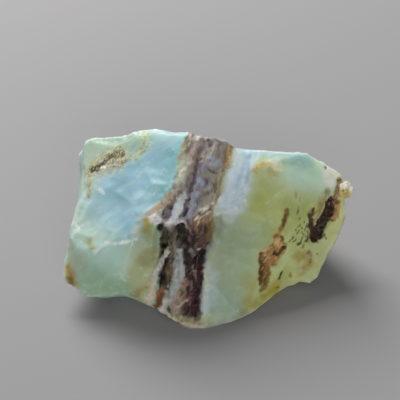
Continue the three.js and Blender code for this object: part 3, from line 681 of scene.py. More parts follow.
        0.6, 0.5, 1.0, (34, 30, 20), (96, 86, 56), rise=-0.1, matte=0.8, grainy=0.6, patchy=0.2),
    "moss crust": Mark(
        [(-20.3, 4.6, 19.7), (-18.3, 4.4, 20.6), (-16.1, 3.9, 21.5)],
        0.45, 0.7, 0.8, (210, 200, 170), (178, 162, 120), rise=0.1, matte=0.5, grainy=0.7, patchy=0.5),
    "moss glint": Mark(
        [(-20.6, 5.2, 19.8), (-19.9, 4.9, 20.0)],
        0.28, 0.3, 0.95, (242, 242, 234), (224, 224, 208), rise=0.1),
    "yellow dust": Mark(
        [(-13.9, 4.8, 23.0), (-12.8, 5.8, 23.8), (-12.3, 7.0, 24.5), (-12.1, 8.4, 25.1)],
        1.1, 2.0, 0.7, (172, 174, 100), (198, 208, 162), matte=0.1, grainy=0.5, patchy=0.35),
    # The golden strip, glints, milky streaks and a scratch, on the right.
    "strip crack": Mark(
        [(12.5, 3.2, 22.4), (15.1, 3.5, 21.6), (17.5, 3.8, 20.7)],
        0.16, 0.3, 0.7, (226, 236, 228), (204, 220, 210), matte=0.35, patchy=0.6),
    "strip dust": Mark(
        [(9.6, 1.4, 21.2), (11.1, 1.7, 21.2), (12.5, 1.4, 20.3)],
        0.6, 1.4, 0.5, (198, 196, 140), (204, 206, 160)),
    "strip glow": Mark(
        [(11.3, 2.3, 21.7), (12.1, 1.7, 21.0)],
        0.7, 1.4, 0.7, (184, 176, 96), (196, 190, 122)),
    "strip ochre": Mark(
        [(8.3, 1.3, 21.9), (8.8, 2.0, 22.2), (9.5, 2.5, 22.3)],
        0.55, 0.6, 0.9, (182, 146, 82), (226, 204, 146), matte=0.5, grainy=0.3, patchy=0.4),
    "strip gold": Mark(
        [(9.2, 2.4, 22.4), (10.1, 3.0, 22.5), (11.0, 3.1, 22.5)],
        0.65, 0.7, 0.85, (206, 178, 86), (234, 216, 142), matte=0.3, grainy=0.2, torn=1.4),
    "strip crust": Mark(
        [(10.5, 3.2, 22.6), (11.3, 3.3, 22.6), (12.3, 2.9, 22.1), (13.3, 2.7, 21.6)],
        0.5, 0.6, 0.95, (246, 242, 228), (228, 216, 160), rise=0.1, matte=0.35, grainy=0.12, torn=1.6,
        patchy=0.3),
    "top glint": Mark(
        [(9.2, 5.6, 23.4), (11.7, 5.7, 23.2), (14.8, 5.9, 22.8), (17.6, 5.9, 22.4)],
        0.16, 0.35, 0.85, (228, 240, 246), (206, 224, 232), matte=0.35, patchy=0.4),
    # Partly pale opal and partly a painted highlight along the top edge.
    "pale facet in painted highlight": Mark(
        [(9.9, 5.0, 23.2), (11.4, 4.5, 23.0), (13.2, 4.1, 22.6)],
        0.32, 0.6, 0.75, (208, 224, 230), (190, 210, 218), matte=0.35),
    "teal facet": Mark(
        [(14.1, 3.7, 22.3), (16.1, 3.9, 21.5), (17.4, 4.9, 21.8)],
        0.5, 1.0, 0.35, (150, 182, 170), (160, 190, 178)),
    "green glint": Mark(
        [(16.7, 4.3, 21.6), (17.3, 4.5, 21.5)],
        0.12, 0.3, 0.85, (216, 238, 218), (200, 226, 206), matte=0.45),
    "first milk": Mark(
        [(9.3, 5.4, 23.4), (9.0, 4.0, 23.0), (7.8, 2.4, 22.5), (7.2, 1.3, 22.0)],
        0.26, 0.5, 0.8, (222, 232, 240), (204, 218, 228), matte=0.35, patchy=0.3),
    "second milk": Mark(
        [(5.7, 5.1, 23.7), (5.3, 3.8, 23.5), (4.6, 2.9, 23.2)],
        0.35, 0.6, 0.75, (222, 230, 236), (206, 218, 226), matte=0.35),
    "third milk": Mark(
        [(7.3, -0.6, 20.4), (6.4, -1.8, 19.5), (4.8, -2.9, 19.0), (3.5, -3.5, 18.9)],
        0.22, 0.35, 0.8, (224, 234, 242), (204, 218, 228), matte=0.35, patchy=0.3),
    "fourth milk": Mark(
        [(6.4, -2.1, 19.0), (5.4, -2.6, 19.0), (4.0, -3.7, 18.5), (2.3, -4.9, 18.2)],
        0.24, 0.4, 0.75, (214, 226, 240), (198, 212, 228), matte=0.35, patchy=0.4),
    "fifth milk": Mark(
        [(4.8, 1.3, 22.3), (4.3, -0.5, 21.3), (3.3, -2.2, 20.1)],
        0.18, 0.35, 0.7, (220, 230, 238), (202, 216, 226), matte=0.35, patchy=0.4),
    "sixth milk": Mark(
        [(7.7, -0.9, 19.8), (7.0, -1.7, 19.2), (5.6, -2.5, 19.1)],
        0.16, 0.3, 0.7, (222, 232, 238), (204, 216, 224), matte=0.35),
    "blue streak": Mark(
        [(6.6, 5.0, 23.5), (6.5, 2.3, 22.6), (5.6, 0.1, 21.4), (4.9, -1.5, 20.2)],
        0.4, 0.9, 0.6, (156, 184, 210), (170, 196, 216)),
    "blue fold": Mark(
        [(7.6, 5.0, 23.3), (7.3, 1.9, 22.3), (6.8, -0.5, 20.6)],
        0.3, 0.6, 0.6, (152, 182, 208), (166, 194, 214), matte=0.2),
    "first fold": Mark(
        [(3.6, -3.0, 19.4), (4.9, -2.2, 19.6), (6.3, -1.2, 20.1), (7.2, -0.6, 20.5)],
        0.2, 0.3, 0.85, (222, 232, 240), (198, 212, 224), rise=0.08, matte=0.5, patchy=0.3),
    "second fold": Mark(
        [(3.4, -4.0, 18.5), (5.1, -3.1, 18.6), (6.4, -2.1, 19.0)],
        0.17, 0.3, 0.8, (212, 226, 238), (190, 206, 222), rise=0.08, matte=0.5, patchy=0.4),
    "third fold": Mark(
        [(2.3, -5.2, 18.0), (4.0, -4.4, 17.7), (5.9, -3.3, 17.5)],
        0.2, 0.3, 0.85, (204, 220, 242), (186, 204, 228), rise=0.08, matte=0.5, patchy=0.35),
    "fourth fold": Mark(
        [(2.6, -5.4, 17.6), (4.5, -4.7, 16.7), (6.1, -3.8, 16.7)],
        0.15, 0.25, 0.8, (220, 230, 240), (196, 208, 222), rise=0.05, matte=0.5, patchy=0.4),
    "fifth fold": Mark(
        [(4.3, -1.9, 20.0), (4.7, -0.4, 21.2), (5.2, 1.1, 22.1)],
        0.16, 0.3, 0.7, (206, 222, 234), (188, 206, 222), matte=0.4, patchy=0.5),
    "milk glint": Mark(
        [(6.6, -2.7, 18.1), (6.6, -3.0, 17.7)],
        0.14, 0.25, 0.95, (236, 250, 238), (226, 240, 230), matte=0.45),
    "scratch": Mark(
        [(14.2, 0.2, 18.4), (13.0, -0.5, 18.1), (11.6, -1.6, 17.4), (10.5, -2.3, 17.0)],
        0.12, 0.22, 0.8, (214, 222, 172), (196, 206, 148), matte=0.4, patchy=0.3),
    # The brown pocket in the right face.
    "pocket wash": Mark(
        [(13.2, -5.3, 12.6), (11.9, -6.4, 10.6), (10.3, -8.6, 9.5), (10.0, -9.8, 7.1)],
        1.4, 2.2, 0.45, (172, 164, 98), (182, 176, 110)),
    "pocket top": Mark(
        [(14.8, -2.3, 15.5), (14.3, -3.4, 14.2), (13.5, -4.8, 12.9), (13.0, -5.7, 12.0)],
        0.45, 0.35, 0.95, (116, 92, 42), (178, 148, 86), rise=-0.1, matte=0.8),
    "pocket top shade": Mark(
        [(14.6, -2.9, 14.8), (14.2, -3.8, 13.8), (13.8, -4.5, 13.2)],
        0.15, 0.3, 0.9, (88, 68, 30), (120, 96, 46), matte=0.8),
    "pocket": Mark(
        [(12.9, -5.9, 11.3), (13.4, -6.0, 10.0), (13.5, -6.3, 9.0), (12.1, -6.8, 9.7), (10.7, -8.1, 9.9),
         (10.2, -8.8, 9.1), (11.8, -7.8, 8.3), (12.6, -7.4, 8.0), (11.5, -8.4, 7.3), (10.4, -9.2, 8.3),
         (10.7, -9.0, 7.1)],
        0.92, 0.5, 0.95, (104, 64, 22), (208, 162, 90), rise=-0.08, matte=1.0, grainy=0.25, torn=1.1,
        patchy=0.2),
    "pocket foot": Mark(
        [(10.8, -9.0, 6.8), (11.0, -9.3, 5.9), (10.3, -9.8, 6.3), (10.8, -10.0, 5.2), (10.1, -10.7, 5.3),
         (10.3, -10.9, 4.2), (9.7, -11.5, 4.0)],
        0.78, 0.5, 0.95, (98, 64, 20), (172, 130, 62), rise=-0.08, matte=1.0, grainy=0.2, torn=1.2,
        patchy=0.2),
    "pocket shade": Mark(
        [(9.6, -8.5, 9.9), (9.4, -9.1, 9.0), (9.8, -9.7, 8.0), (9.6, -10.5, 6.7), (9.5, -11.4, 5.0)],
        0.42, 0.4, 0.9, (70, 46, 20), (126, 86, 40), rise=-0.1, matte=1.0),
    "pocket gold": Mark(
        [(12.7, -6.0, 10.9), (13.4, -6.1, 9.9)],
        0.62, 0.5, 0.85, (204, 158, 90), (228, 192, 130), matte=0.9),
    "pocket cream": Mark(
        [(10.1, -8.0, 10.4), (10.6, -7.7, 10.5), (11.4, -7.1, 10.2)],
        0.28, 0.3, 0.85, (228, 204, 154), (196, 160, 104), rise=0.1, matte=0.8),
    "pocket crumbs": Mark(
        [(10.3, -8.5, 9.7), (10.8, -8.4, 9.2), (11.3, -8.0, 8.7)],
        0.24, 0.25, 0.8, (228, 206, 160), (190, 150, 96), rise=0.1, matte=0.8),
    "pocket brown": Mark(
        [(10.5, -8.7, 9.2), (10.2, -9.3, 8.4), (10.4, -9.3, 7.3)],
        0.42, 0.4, 0.85, (82, 52, 24), (140, 98, 48), rise=-0.1, matte=1.0),
    "pocket blush": Mark(
        [(12.1, -7.6, 8.3), (12.0, -7.9, 7.9), (11.7, -8.2, 7.4)],
        0.4, 0.45, 0.85, (192, 128, 88), (160, 106, 66), matte=0.9),
    "pocket holes": Mark(
        [(14.0, -6.1, 9.3), (13.7, -6.3, 8.9), (13.1, -6.8, 8.4), (12.8, -7.1, 8.5)],
        0.26, 0.25, 0.95, (50, 30, 16), (98, 64, 30), rise=-0.1, matte=1.0),
    "pocket pit": Mark(
        [(12.2, -7.0, 9.3), (12.3, -7.1, 9.0)],
        0.24, 0.2, 0.9, (58, 36, 18), (96, 60, 30), rise=-0.1, matte=1.0),
    "pocket arm": Mark(
        [(13.5, -5.6, 11.8), (13.8, -5.7, 11.2), (14.0, -5.8, 10.3)],
        0.2, 0.25, 0.85, (82, 64, 30), (120, 96, 48), matte=1.0),
    "foot crumbs": Mark(
        [(11.5, -9.1, 5.7), (10.9, -9.7, 5.4), (10.3, -10.5, 5.0), (10.6, -10.6, 4.2)],
        0.3, 0.3, 0.75, (66, 44, 22), (112, 78, 38), matte=1.0, patchy=0.7),
    # Fine lines and stains in the right face.
    "upper brown line": Mark(
        [(16.4, 0.4, 17.6), (16.3, -0.2, 16.6)],
        0.1, 0.3, 0.6, (146, 132, 76), (160, 150, 94), matte=0.2),
    "thin brown line": Mark(
        [(17.2, 0.0, 16.5), (17.1, -0.8, 15.9), (16.8, -1.8, 15.0), (16.7, -2.3, 14.4)],
        0.17, 0.25, 0.85, (98, 80, 38), (140, 118, 70), matte=0.4),
    "tan wash": Mark(
        [(16.8, -6.1, 7.2), (18.4, -5.7, 6.8), (19.2, -6.2, 5.2), (17.7, -7.0, 4.4)],
        0.9, 1.8, 0.85, (152, 124, 58), (168, 146, 80), patchy=0.3),
    "first stain": Mark(
        [(19.0, -5.2, 7.3), (19.2, -5.4, 6.8)],
        0.3, 0.4, 0.8, (128, 96, 50), (160, 130, 78), matte=0.3),
    "second stain": Mark(
        [(19.2, -5.8, 6.0), (19.3, -6.1, 5.3)],
        0.24, 0.3, 0.85, (122, 88, 46), (150, 120, 70), matte=0.3),
    "third stain": Mark(
        [(15.4, -7.9, 4.5), (15.5, -8.1, 3.9)],
        0.28, 0.35, 0.85, (146, 94, 42), (170, 126, 70), matte=0.3),
    "fourth stain": Mark(
        [(17.1, -6.3, 6.4), (17.0, -6.8, 5.5)],
        0.22, 0.4, 0.65, (148, 122, 70), (166, 146, 92), matte=0.2, patchy=0.4),
    "fifth stain": Mark(
        [(19.0, -6.8, 4.0), (19.1, -6.9, 3.8)],
        0.1, 0.25, 0.6, (140, 110, 60), (160, 134, 80), matte=0.2),
    "dark streak": Mark(
        [(13.8, -8.6, 5.3), (13.4, -9.1, 4.6), (13.1, -9.5, 4.3)],
        0.26, 0.22, 0.95, (26, 32, 20), (52, 56, 36), matte=0.6),
    # The dark vein at the right end, with its flanks, its arm and the spots beside it.
    "white flank of the vein": Mark(
        [(22.6, 4.8, 19.2), (23.9, 4.5, 17.8), (23.3, 3.5, 17.1), (22.5, 3.4, 17.5)],
        0.9, 1.2, 0.95, (238, 238, 232), (222, 220, 208), matte=0.1),
    "tan flank of the vein": Mark(
        [(22.5, 2.3, 16.2), (21.7, 1.1, 14.9), (20.9, -0.2, 13.9), (20.2, -1.2, 12.1)],
        0.7, 1.1, 0.8, (134, 114, 68), (168, 150, 102), matte=0.1),
    "rusty flank of the vein": Mark(
        [(24.9, 2.7, 15.5), (24.7, 2.0, 14.3), (24.4, 0.9, 13.0), (23.8, -0.3, 11.9)],
        0.6, 0.4, 0.95, (164, 108, 54), (206, 158, 102), matte=0.7, grainy=0.35, torn=1.3, patchy=0.3),
    "upper vein": Mark(
        [(24.6, 3.1, 15.9), (24.2, 2.4, 14.9), (24.0, 1.9, 13.9)],
        0.8, 0.5, 0.95, (104, 68, 42), (178, 136, 92), matte=1.0, grainy=0.4),
    "dark tip": Mark(
        [(22.1, 5.2, 19.9), (22.3, 5.1, 19.7)],
        0.16, 0.25, 0.85, (76, 58, 48), (110, 92, 76), matte=0.8),
    "vein head": Mark(
        [(24.8, 4.4, 17.2), (24.8, 3.7, 16.5)],
        0.5, 0.4, 0.9, (86, 56, 34), (142, 102, 66), matte=0.8, grainy=0.4),
    "vein": Mark(
        [(23.2, 1.8, 13.9), (22.7, 0.7, 12.9), (21.9, -0.3, 11.7), (21.1, -1.3, 10.6), (20.4, -2.4, 9.8),
         (20.1, -3.0, 9.1)],
        1.08, 0.35, 1.0, (34, 19, 16), (60, 37, 27), rise=-0.15, matte=1.0, grainy=0.12, torn=0.8),
    "vein foot": Mark(
        [(19.8, -2.6, 9.6), (20.3, -2.8, 9.3), (20.8, -2.6, 9.5)],
        0.85, 0.35, 0.95, (34, 20, 17), (70, 46, 35), rise=-0.1, matte=1.0),
    "vein pink": Mark(
        [(23.8, 1.9, 14.0), (24.1, 1.6, 13.6)],
        0.22, 0.3, 0.8, (206, 142, 106), (170, 102, 72), matte=0.9),
    "vein heel": Mark(
        [(23.1, -0.5, 11.6), (23.5, -0.7, 11.6)],
        0.26, 0.3, 0.85, (120, 78, 44), (84, 54, 34), matte=1.0),
    "shade of the arm": Mark(
        [(19.5, -0.5, 13.7), (19.0, -1.1, 13.2)],
        0.5, 0.6, 0.9, (138, 108, 64), (168, 146, 96), matte=0.6),
    "vein arm": Mark(
        [(19.3, -1.2, 12.8), (19.2, -1.9, 11.9), (19.8, -2.2, 10.3), (20.0, -2.5, 9.6)],
        0.75, 0.35, 0.95, (42, 27, 21), (88, 62, 46), rise=-0.1, matte=1.0, torn=1.2),
    "arm tip": Mark(
        [(19.9, -0.3, 14.1), (19.7, -0.4, 13.8)],
        0.28, 0.22, 0.95, (38, 25, 19), (64, 44, 32), matte=0.8),
    "brown spots": Mark(
        [(18.7, -3.7, 9.6), (18.2, -4.4, 9.4)],
        0.4, 0.3, 0.95, (82, 50, 28), (124, 82, 48), matte=1.0),
    "lower brown spot": Mark(
        [(17.9, -4.8, 9.0), (17.7, -5.1, 8.6)],
        0.26, 0.3, 0.85, (112, 74, 40), (140, 98, 56), matte=0.8),
    "black dot": Mark(
        [(17.2, -4.9, 9.4), (16.8, -5.1, 9.3)],
        0.24, 0.2, 0.95, (40, 32, 20), (70, 56, 34), matte=0.8),
    # Bruised edges, white where they are chipped, and painted glints.
    # Partly white where the ridge is chipped and partly painted glints.
    "bruised edge and glints": Mark(
        [(-21.4, -9.9, 11.7), (-20.0, -9.9, 13.2), (-18.8, -9.8, 13.8), (-16.9, -10.6, 14.7),
         (-15.3, -11.0, 15.4), (-13.6, -10.8, 15.7)],
        0.4, 0.5, 0.6, (228, 242, 242), (196, 220, 222), patchy=0.6),
    # Painted glints on the chipped ridge.
    "bright glints on the ridge": Mark(
        [(-19.1, -9.7, 13.7), (-17.6, -10.4, 14.3)],
        0.3, 0.4, 0.8, (242, 250, 250), (220, 236, 236), matte=0.45, patchy=0.5),
    "ridge glint": Mark(
        [(-21.3, -9.9, 11.8), (-19.9, -10.1, 13.2), (-18.8, -9.8, 13.8), (-16.9, -10.7, 14.5),
         (-15.8, -11.0, 15.2), (-14.2, -11.5, 15.9), (-13.2, -10.6, 15.7)],
        0.2, 0.25, 0.9, (242, 250, 250), (212, 232, 234), matte=0.45, torn=0.8, patchy=0.3),
    "left glint": Mark(
        [(-25.1, -4.1, 13.3), (-24.5, -4.9, 13.3)],
        0.16, 0.25, 0.9, (246, 250, 246), (226, 238, 232), matte=0.45),
    # A painted highlight along the left edge.
    "left glint line": Mark(
        [(-25.9, -5.3, 12.4), (-25.0, -6.6, 12.3), (-23.8, -7.9, 12.3)],
        0.12, 0.25, 0.8, (232, 242, 236), (208, 226, 218), matte=0.45, patchy=0.4),
    # Partly white bruising and partly painted glints on the left edge.
    "left bruise and glints": Mark(
        [(-26.4, -5.4, 12.2), (-24.5, -4.5, 13.5), (-22.8, -4.4, 14.4)],
        0.35, 0.6, 0.45, (226, 238, 232), (204, 222, 216), patchy=0.7),
    # A painted glint.
    "upper glint": Mark(
        [(-20.7, 0.7, 18.1), (-19.8, -0.3, 18.0)],
        0.16, 0.3, 0.9, (236, 240, 234), (222, 232, 226), matte=0.45, torn=2.0, patchy=0.6),
    # A painted glint on a ripple.
    "glint on a ripple": Mark(
        [(6.4, -2.7, 18.0), (7.0, -3.1, 17.4)],
        0.18, 0.3, 0.8, (230, 238, 228), (214, 226, 212), matte=0.35, patchy=0.8),
    # The back and both ends.
    "back sheet": Mark(
        [(2.2, 13.1, 18.0), (3.6, 16.3, 14.0), (4.2, 17.2, 10.0), (4.2, 16.5, 6.0), (4.0, 15.3, 3.0)],
        0.55, 0.6, 0.8, (206, 208, 206), (170, 170, 168), rise=0.1, matte=0.4),
    "back lilac": Mark(
        [(5.1, 13.2, 17.0), (6.9, 17.3, 12.0), (6.9, 16.6, 8.0)],
        0.5, 0.7, 0.7, (136, 134, 152), (176, 176, 188), matte=0.7),
    # Painted shade: black for the shadow deep in a hole at the back.
    "back cavity": Mark(
        [(5.8, 17.5, 11.5), (5.8, 17.2, 10.0), (5.8, 17.0, 9.0)],
        0.6, 0.5, 1.0, (20, 16, 14), (40, 32, 26), rise=-0.6, matte=1.0, torn=1.5),
    # Painted shade: black for the shadow deep in a hole at the back.
    "lower back cavity": Mark(
        [(2.8, 16.5, 6.5), (2.7, 16.1, 5.0)],
        0.5, 0.5, 1.0, (22, 18, 15), (44, 36, 28), rise=-0.5, matte=1.0, torn=1.5),
    "back rust": Mark(
        [(8.1, 15.9, 13.0), (8.5, 16.3, 9.0), (8.5, 15.6, 5.0)],
        0.5, 0.9, 0.8, (150, 106, 54), (112, 80, 46), matte=1.0),
    "back ochre": Mark(
        [(7.2, 10.5, 19.0), (8.7, 14.0, 15.0), (9.7, 16.1, 11.0), (9.7, 15.3, 7.0)],
        0.3, 0.6, 0.85, (182, 138, 66), (212, 184, 124), matte=0.6, patchy=0.5),
    "back cream": Mark(
        [(-1.7, 13.2, 19.0), (-0.1, 16.8, 14.0), (0.3, 17.1, 9.0), (0.3, 16.1, 4.0)],
        0.25, 0.5, 0.8, (214, 206, 184), (192, 184, 156), matte=0.3, patchy=0.5),
    "back stain": Mark(
        [(-17.0, 14.2, 7.0), (-14.0, 14.5, 5.6), (-11.0, 15.2, 5.2)],
        0.9, 1.6, 0.85, (172, 132, 60), (154, 132, 80), matte=0.4, patchy=0.5),
    "back moss": Mark(
        [(-20.0, 14.9, 12.5), (-17.0, 15.9, 14.2), (-14.0, 16.1, 14.6)],
        1.0, 1.4, 0.8, (150, 138, 84), (202, 202, 164), matte=0.2, grainy=0.5, patchy=0.5),
    "back moss core": Mark(
        [(-19.0, 15.8, 13.0), (-16.0, 16.0, 14.3)],
        0.45, 0.7, 0.95, (54, 46, 30), (130, 118, 78), matte=0.7, grainy=0.8, patchy=0.3),
    "back milk": Mark(
        [(-5.0, 14.5, 18.0), (-8.0, 17.4, 14.0), (-12.0, 16.5, 10.5), (-17.0, 14.8, 8.6)],
        0.3, 0.9, 0.7, (220, 232, 236), (200, 216, 222), patchy=0.5),
    "second back milk": Mark(
        [(-9.0, 15.1, 17.0), (-12.0, 17.2, 13.0), (-16.0, 15.9, 11.0)],
        0.2, 0.6, 0.65, (220, 232, 236), (200, 216, 222), patchy=0.5),
    "back vein": Mark(
        [(15.0, 12.0, 14.5), (16.3, 13.5, 11.5), (17.0, 12.3, 8.0), (18.4, 10.8, 5.0)],
        0.42, 0.5, 0.95, (62, 42, 26), (140, 104, 60), rise=-0.1, matte=1.0, torn=1.5, patchy=0.3),
    "back pocket": Mark(
        [(16.0, 13.7, 11.0), (17.3, 12.7, 9.6), (16.7, 12.4, 7.8)],
        0.85, 0.6, 0.9, (128, 88, 38), (212, 172, 106), rise=-0.1, matte=1.0, grainy=0.25, torn=1.3),
    "back spots": Mark(
        [(20.0, 10.2, 9.5), (21.2, 8.6, 8.4)],
        0.35, 0.5, 0.85, (118, 82, 42), (160, 126, 72), matte=0.5, patchy=0.5),
    "end stain": Mark(
        [(-25.3, 6.0, 8.0), (-25.2, 3.0, 6.5), (-25.4, -1.0, 5.6)],
        0.8, 1.6, 0.7, (168, 136, 70), (170, 154, 102), matte=0.3, patchy=0.5),
    "end moss": Mark(
        [(23.1, 7.0, 9.5), (23.6, 4.5, 7.5), (23.7, 2.0, 6.5)],
        0.7, 1.3, 0.8, (150, 118, 58), (186, 172, 112), matte=0.3, grainy=0.4, patchy=0.6),
    # A milky fold beside the ledge, and the nodule at the right end.
    "milky fold": Mark(
        [(1.6, -5.8, 17.7), (4.0, -4.6, 17.4), (6.0, -3.9, 17.0)],
        0.35, 0.7, 0.7, (214, 222, 222), (196, 206, 206), rise=0.1),
    "root of the nodule": Mark(
        [(25.2, 3.5, 16.6), (25.1, 2.5, 16.4), (25.3, 2.6, 15.2)],
        0.5, 0.8, 0.9, (206, 186, 112), (230, 220, 172), rise=0.5, matte=0.6),
    "skin of the nodule": Mark(
        [(26.4, 2.8, 16.2), (26.5, 3.4, 16.2)],
        1.3, 0.6, 0.85, (208, 192, 122), (240, 232, 186), matte=0.6),
    "nodule": Mark(
        [(25.3, 2.1, 16.5), (26.1, 1.8, 16.4), (25.6, 2.1, 15.3), (26.3, 1.7, 15.6)],
        0.55, 0.6, 0.95, (206, 186, 100), (242, 232, 176), matte=0.9, grainy=0.5),
    "nodule cap": Mark(
        [(25.5, 3.1, 17.2), (26.1, 2.9, 17.4), (26.6, 2.6, 17.2), (27.2, 3.0, 16.4)],
        0.6, 0.5, 0.95, (238, 238, 230), (222, 220, 200), rise=0.1, matte=0.7),
    "nodule dots": Mark(
        [(25.4, 2.2, 16.8), (25.7, 1.8, 16.2), (26.0, 1.7, 16.0), (26.4, 1.9, 16.5)],
        0.14, 0.2, 0.9, (112, 80, 34), (150, 116, 58), matte=0.9, patchy=0.8),
}
grains = np.zeros(count)
wobble = 0.35 * fleck + 0.16 * grit + 0.35 * lumps(1.9)
mottle = 0.5 + 0.7 * fleck + 0.4 * grit
gaps = step(fleck + 0.8 * grit, 0.1, -0.35)
for mark in marks.values():
    ragged = wobble * (0.6 + 0.6 * mark.half) * mark.torn
    mask = step(to_line(mark.line) + ragged, mark.half + 0.5 * mark.soft, mark.half - 0.5 * mark.soft)
    grains = np.maximum(grains * (1.0 - mask), mask * mark.grainy)
    mask *= 1.0 - mark.patchy * gaps
    tone = blend(mask * mark.strength, tone, shades(mottle, mark.dark, mark.light))
    earth = earth + mask * mark.strength * (mark.matte - earth)
    height += mask * (mark.rise + (0.14 * fleck if mark.rise < 0.0 else 0.0))

# Specks: small dark crystals in the green face, each from one point to another.
specks = (
    ((17.2, -3.1, 12.7), (17.1, -3.3, 12.3)),
    ((16.3, -3.9, 12.1), (16.4, -4.0, 11.8)),
    ((15.8, -4.8, 11.0), (15.6, -5.1, 10.6)),
    ((15.3, -5.3, 10.6), (15.0, -5.6, 10.3)),
    ((17.5, -3.7, 11.3), (17.6, -3.8, 10.9)),
    ((18.2, -3.1, 11.5), (18.1, -3.4, 11.2)),
    ((17.8, -3.8, 10.7), (18.0, -3.9, 10.5)),
    ((18.5, -3.1, 10.9), (18.7, -3.0, 10.5)),
    ((16.4, -4.7, 10.4), (16.3, -4.9, 10.2)),
    ((16.1, -5.0, 10.2), (15.9, -5.2, 10.1)),
    ((16.8, -3.4, 12.5), (16.7, -3.5, 12.3)),
    ((18.0, -2.5, 12.8), (17.9, -2.7, 12.6)),
    ((22.1, -2.5, 9.6), (22.0, -2.8, 9.4)),
    ((22.2, -3.0, 9.2), (22.3, -3.2, 8.9)),
    ((17.4, -4.5, 9.9), (17.3, -4.7, 9.7)),
    ((19.0, -2.7, 10.6), (19.0, -2.6, 10.4)),
    ((17.7, -4.1, 10.3), (17.5, -4.3, 10.1)),
    ((17.1, -2.6, 13.7), (17.0, -2.8, 13.5)),
    ((18.4, -2.8, 11.8), (18.3, -3.0, 11.6)),
    ((16.7, -4.1, 11.3), (16.6, -4.2, 11.2)),
    ((17.0, -3.7, 11.7), (16.9, -3.8, 11.5)),
    ((12.9, -10.1, 2.7), (12.8, -10.2, 2.6)),
    ((13.2, -9.9, 2.7), (13.3, -9.9, 2.4)),
    ((18.1, -3.9, 10.3), (18.3, -3.9, 10.1)),
    ((20.5, -4.9, 6.8), (20.6, -5.0, 6.6)),
    ((17.5, -3.3, 12.0), (17.6, -3.4, 11.7)),
)
SPECK_REACH = (0.22, 0.06)
for start, end in specks:
    mask = step(to_line([start, end]) + 0.1 * fleck, *SPECK_REACH)
    tone = wash(tone, mask * 0.9, 50, 56, 28)

# Scars of flakes struck off the faces: a place near the skin, half width and depth.
scars = (
    ((-14.9, 0.8, 20.8), 4.6, 0.34),
    ((-18.0, -4.2, 17.1), 4.2, 0.34),
    ((-9.2, 1.3, 23.4), 3.6, 0.28),
    ((-21.8, -4.9, 14.6), 2.6, 0.28),
    ((-10.9, -4.6, 20.5), 3.0, 0.24),
    ((-13.6, 5.2, 23.3), 3.2, 0.26),
    ((-19.8, 2.7, 19.3), 2.6, 0.24),
    ((-23.6, -7.5, 12.6), 2.6, 0.32),
    ((-20.3, -11.1, 9.6), 3.4, 0.3),
    ((-16.9, -11.3, 12.4), 2.6, 0.26),
    ((-19.5, -12.5, 5.2), 3.2, 0.28),
    ((-23.2, -10.9, 8.1), 2.0, 0.24),
    ((4.7, -6.3, 14.6), 4.0, 0.32),
    ((8.4, -1.9, 18.2), 3.8, 0.3),
    ((3.8, -12.0, 7.3), 4.4, 0.34),
    ((12.3, 0.4, 19.3), 3.4, 0.26),
    ((6.6, -9.1, 10.3), 3.0, 0.26),
    ((16.1, -0.9, 16.1), 3.4, 0.28),
    ((21.2, -5.0, 6.4), 3.0, 0.3),
    ((17.3, -7.1, 4.5), 2.6, 0.26),
    ((1.0, -14.9, 4.3), 2.8, 0.26),
    ((20.0, 3.9, 19.5), 3.0, 0.26),
    ((15.1, 3.5, 21.6), 2.4, 0.22),
    ((8.5, 4.0, 23.0), 2.0, 0.2),
    ((11.3, -5.0, 13.4), 2.4, 0.2),
    ((23.1, -2.7, 9.5), 2.8, 0.26),
    ((-18.0, 14.0, 14.0), 5.0, 0.45),
    ((-10.0, 16.0, 10.0), 4.6, 0.45),
    ((-14.0, 12.0, 20.0), 3.6, 0.36),
    ((-20.0, 14.0, 6.0), 4.0, 0.4),
    ((-6.0, 14.0, 18.0), 3.4, 0.36),
    ((8.0, 15.0, 12.0), 4.6, 0.45),
    ((14.0, 14.0, 8.0), 4.0, 0.4),
    ((20.0, 10.0, 10.0), 4.0, 0.4),
    ((12.0, 12.0, 18.0), 3.4, 0.34),
    ((18.0, 9.0, 16.0), 3.0, 0.3),
    ((-26.0, 6.0, 9.0), 4.0, 0.4),
    ((-25.0, -1.0, 7.0), 3.6, 0.36),
    ((24.0, 6.0, 6.0), 3.2, 0.34),
)
# Sharp edges that small chips have come off.
broken_edges = (
    [(-21.2, -10.2, 11.3), (-19.7, -10.4, 13.0), (-17.8, -10.3, 14.2), (-13.1, -10.5, 15.9)],
    [(-27.0, -8.0, 8.0), (-26.2, -5.1, 12.3), (-24.5, -4.6, 13.4), (-22.8, -4.5, 14.3)],
    [(-25.3, -3.0, 13.6), (-23.1, 0.2, 16.4), (-24.8, 8.0, 17.5), (-25.0, 13.1, 18.5)],
    [(-23.5, 12.4, 20.9), (-17.7, 9.8, 22.5), (-11.3, 9.0, 25.6), (-3.7, 6.0, 26.9)],
    [(5.5, 6.0, 23.8), (10.0, 7.0, 23.4), (18.0, 8.0, 22.4), (23.0, 6.0, 19.5)],
    [(-5.3, -17.4, 0.6), (3.8, -16.7, 0.9), (7.6, -14.3, 1.7), (12.4, -10.5, 2.5), (18.0, -8.0, 2.4)],
    [(-12.9, -8.7, 17.9), (-10.0, -6.9, 19.9), (-6.0, -5.0, 22.2)],
    [(-26.0, -12.0, 3.0), (-20.0, -13.4, 2.4), (-13.0, -13.4, 2.4), (-7.0, -16.0, 1.2)],
    [(-24.0, 14.0, 8.0), (-12.0, 17.0, 6.0), (4.0, 17.0, 6.0), (18.0, 14.0, 6.0), (25.0, 6.0, 8.0)],
)
CHIP_EVERY = 1.1
CHIP_DEPTH = 0.22


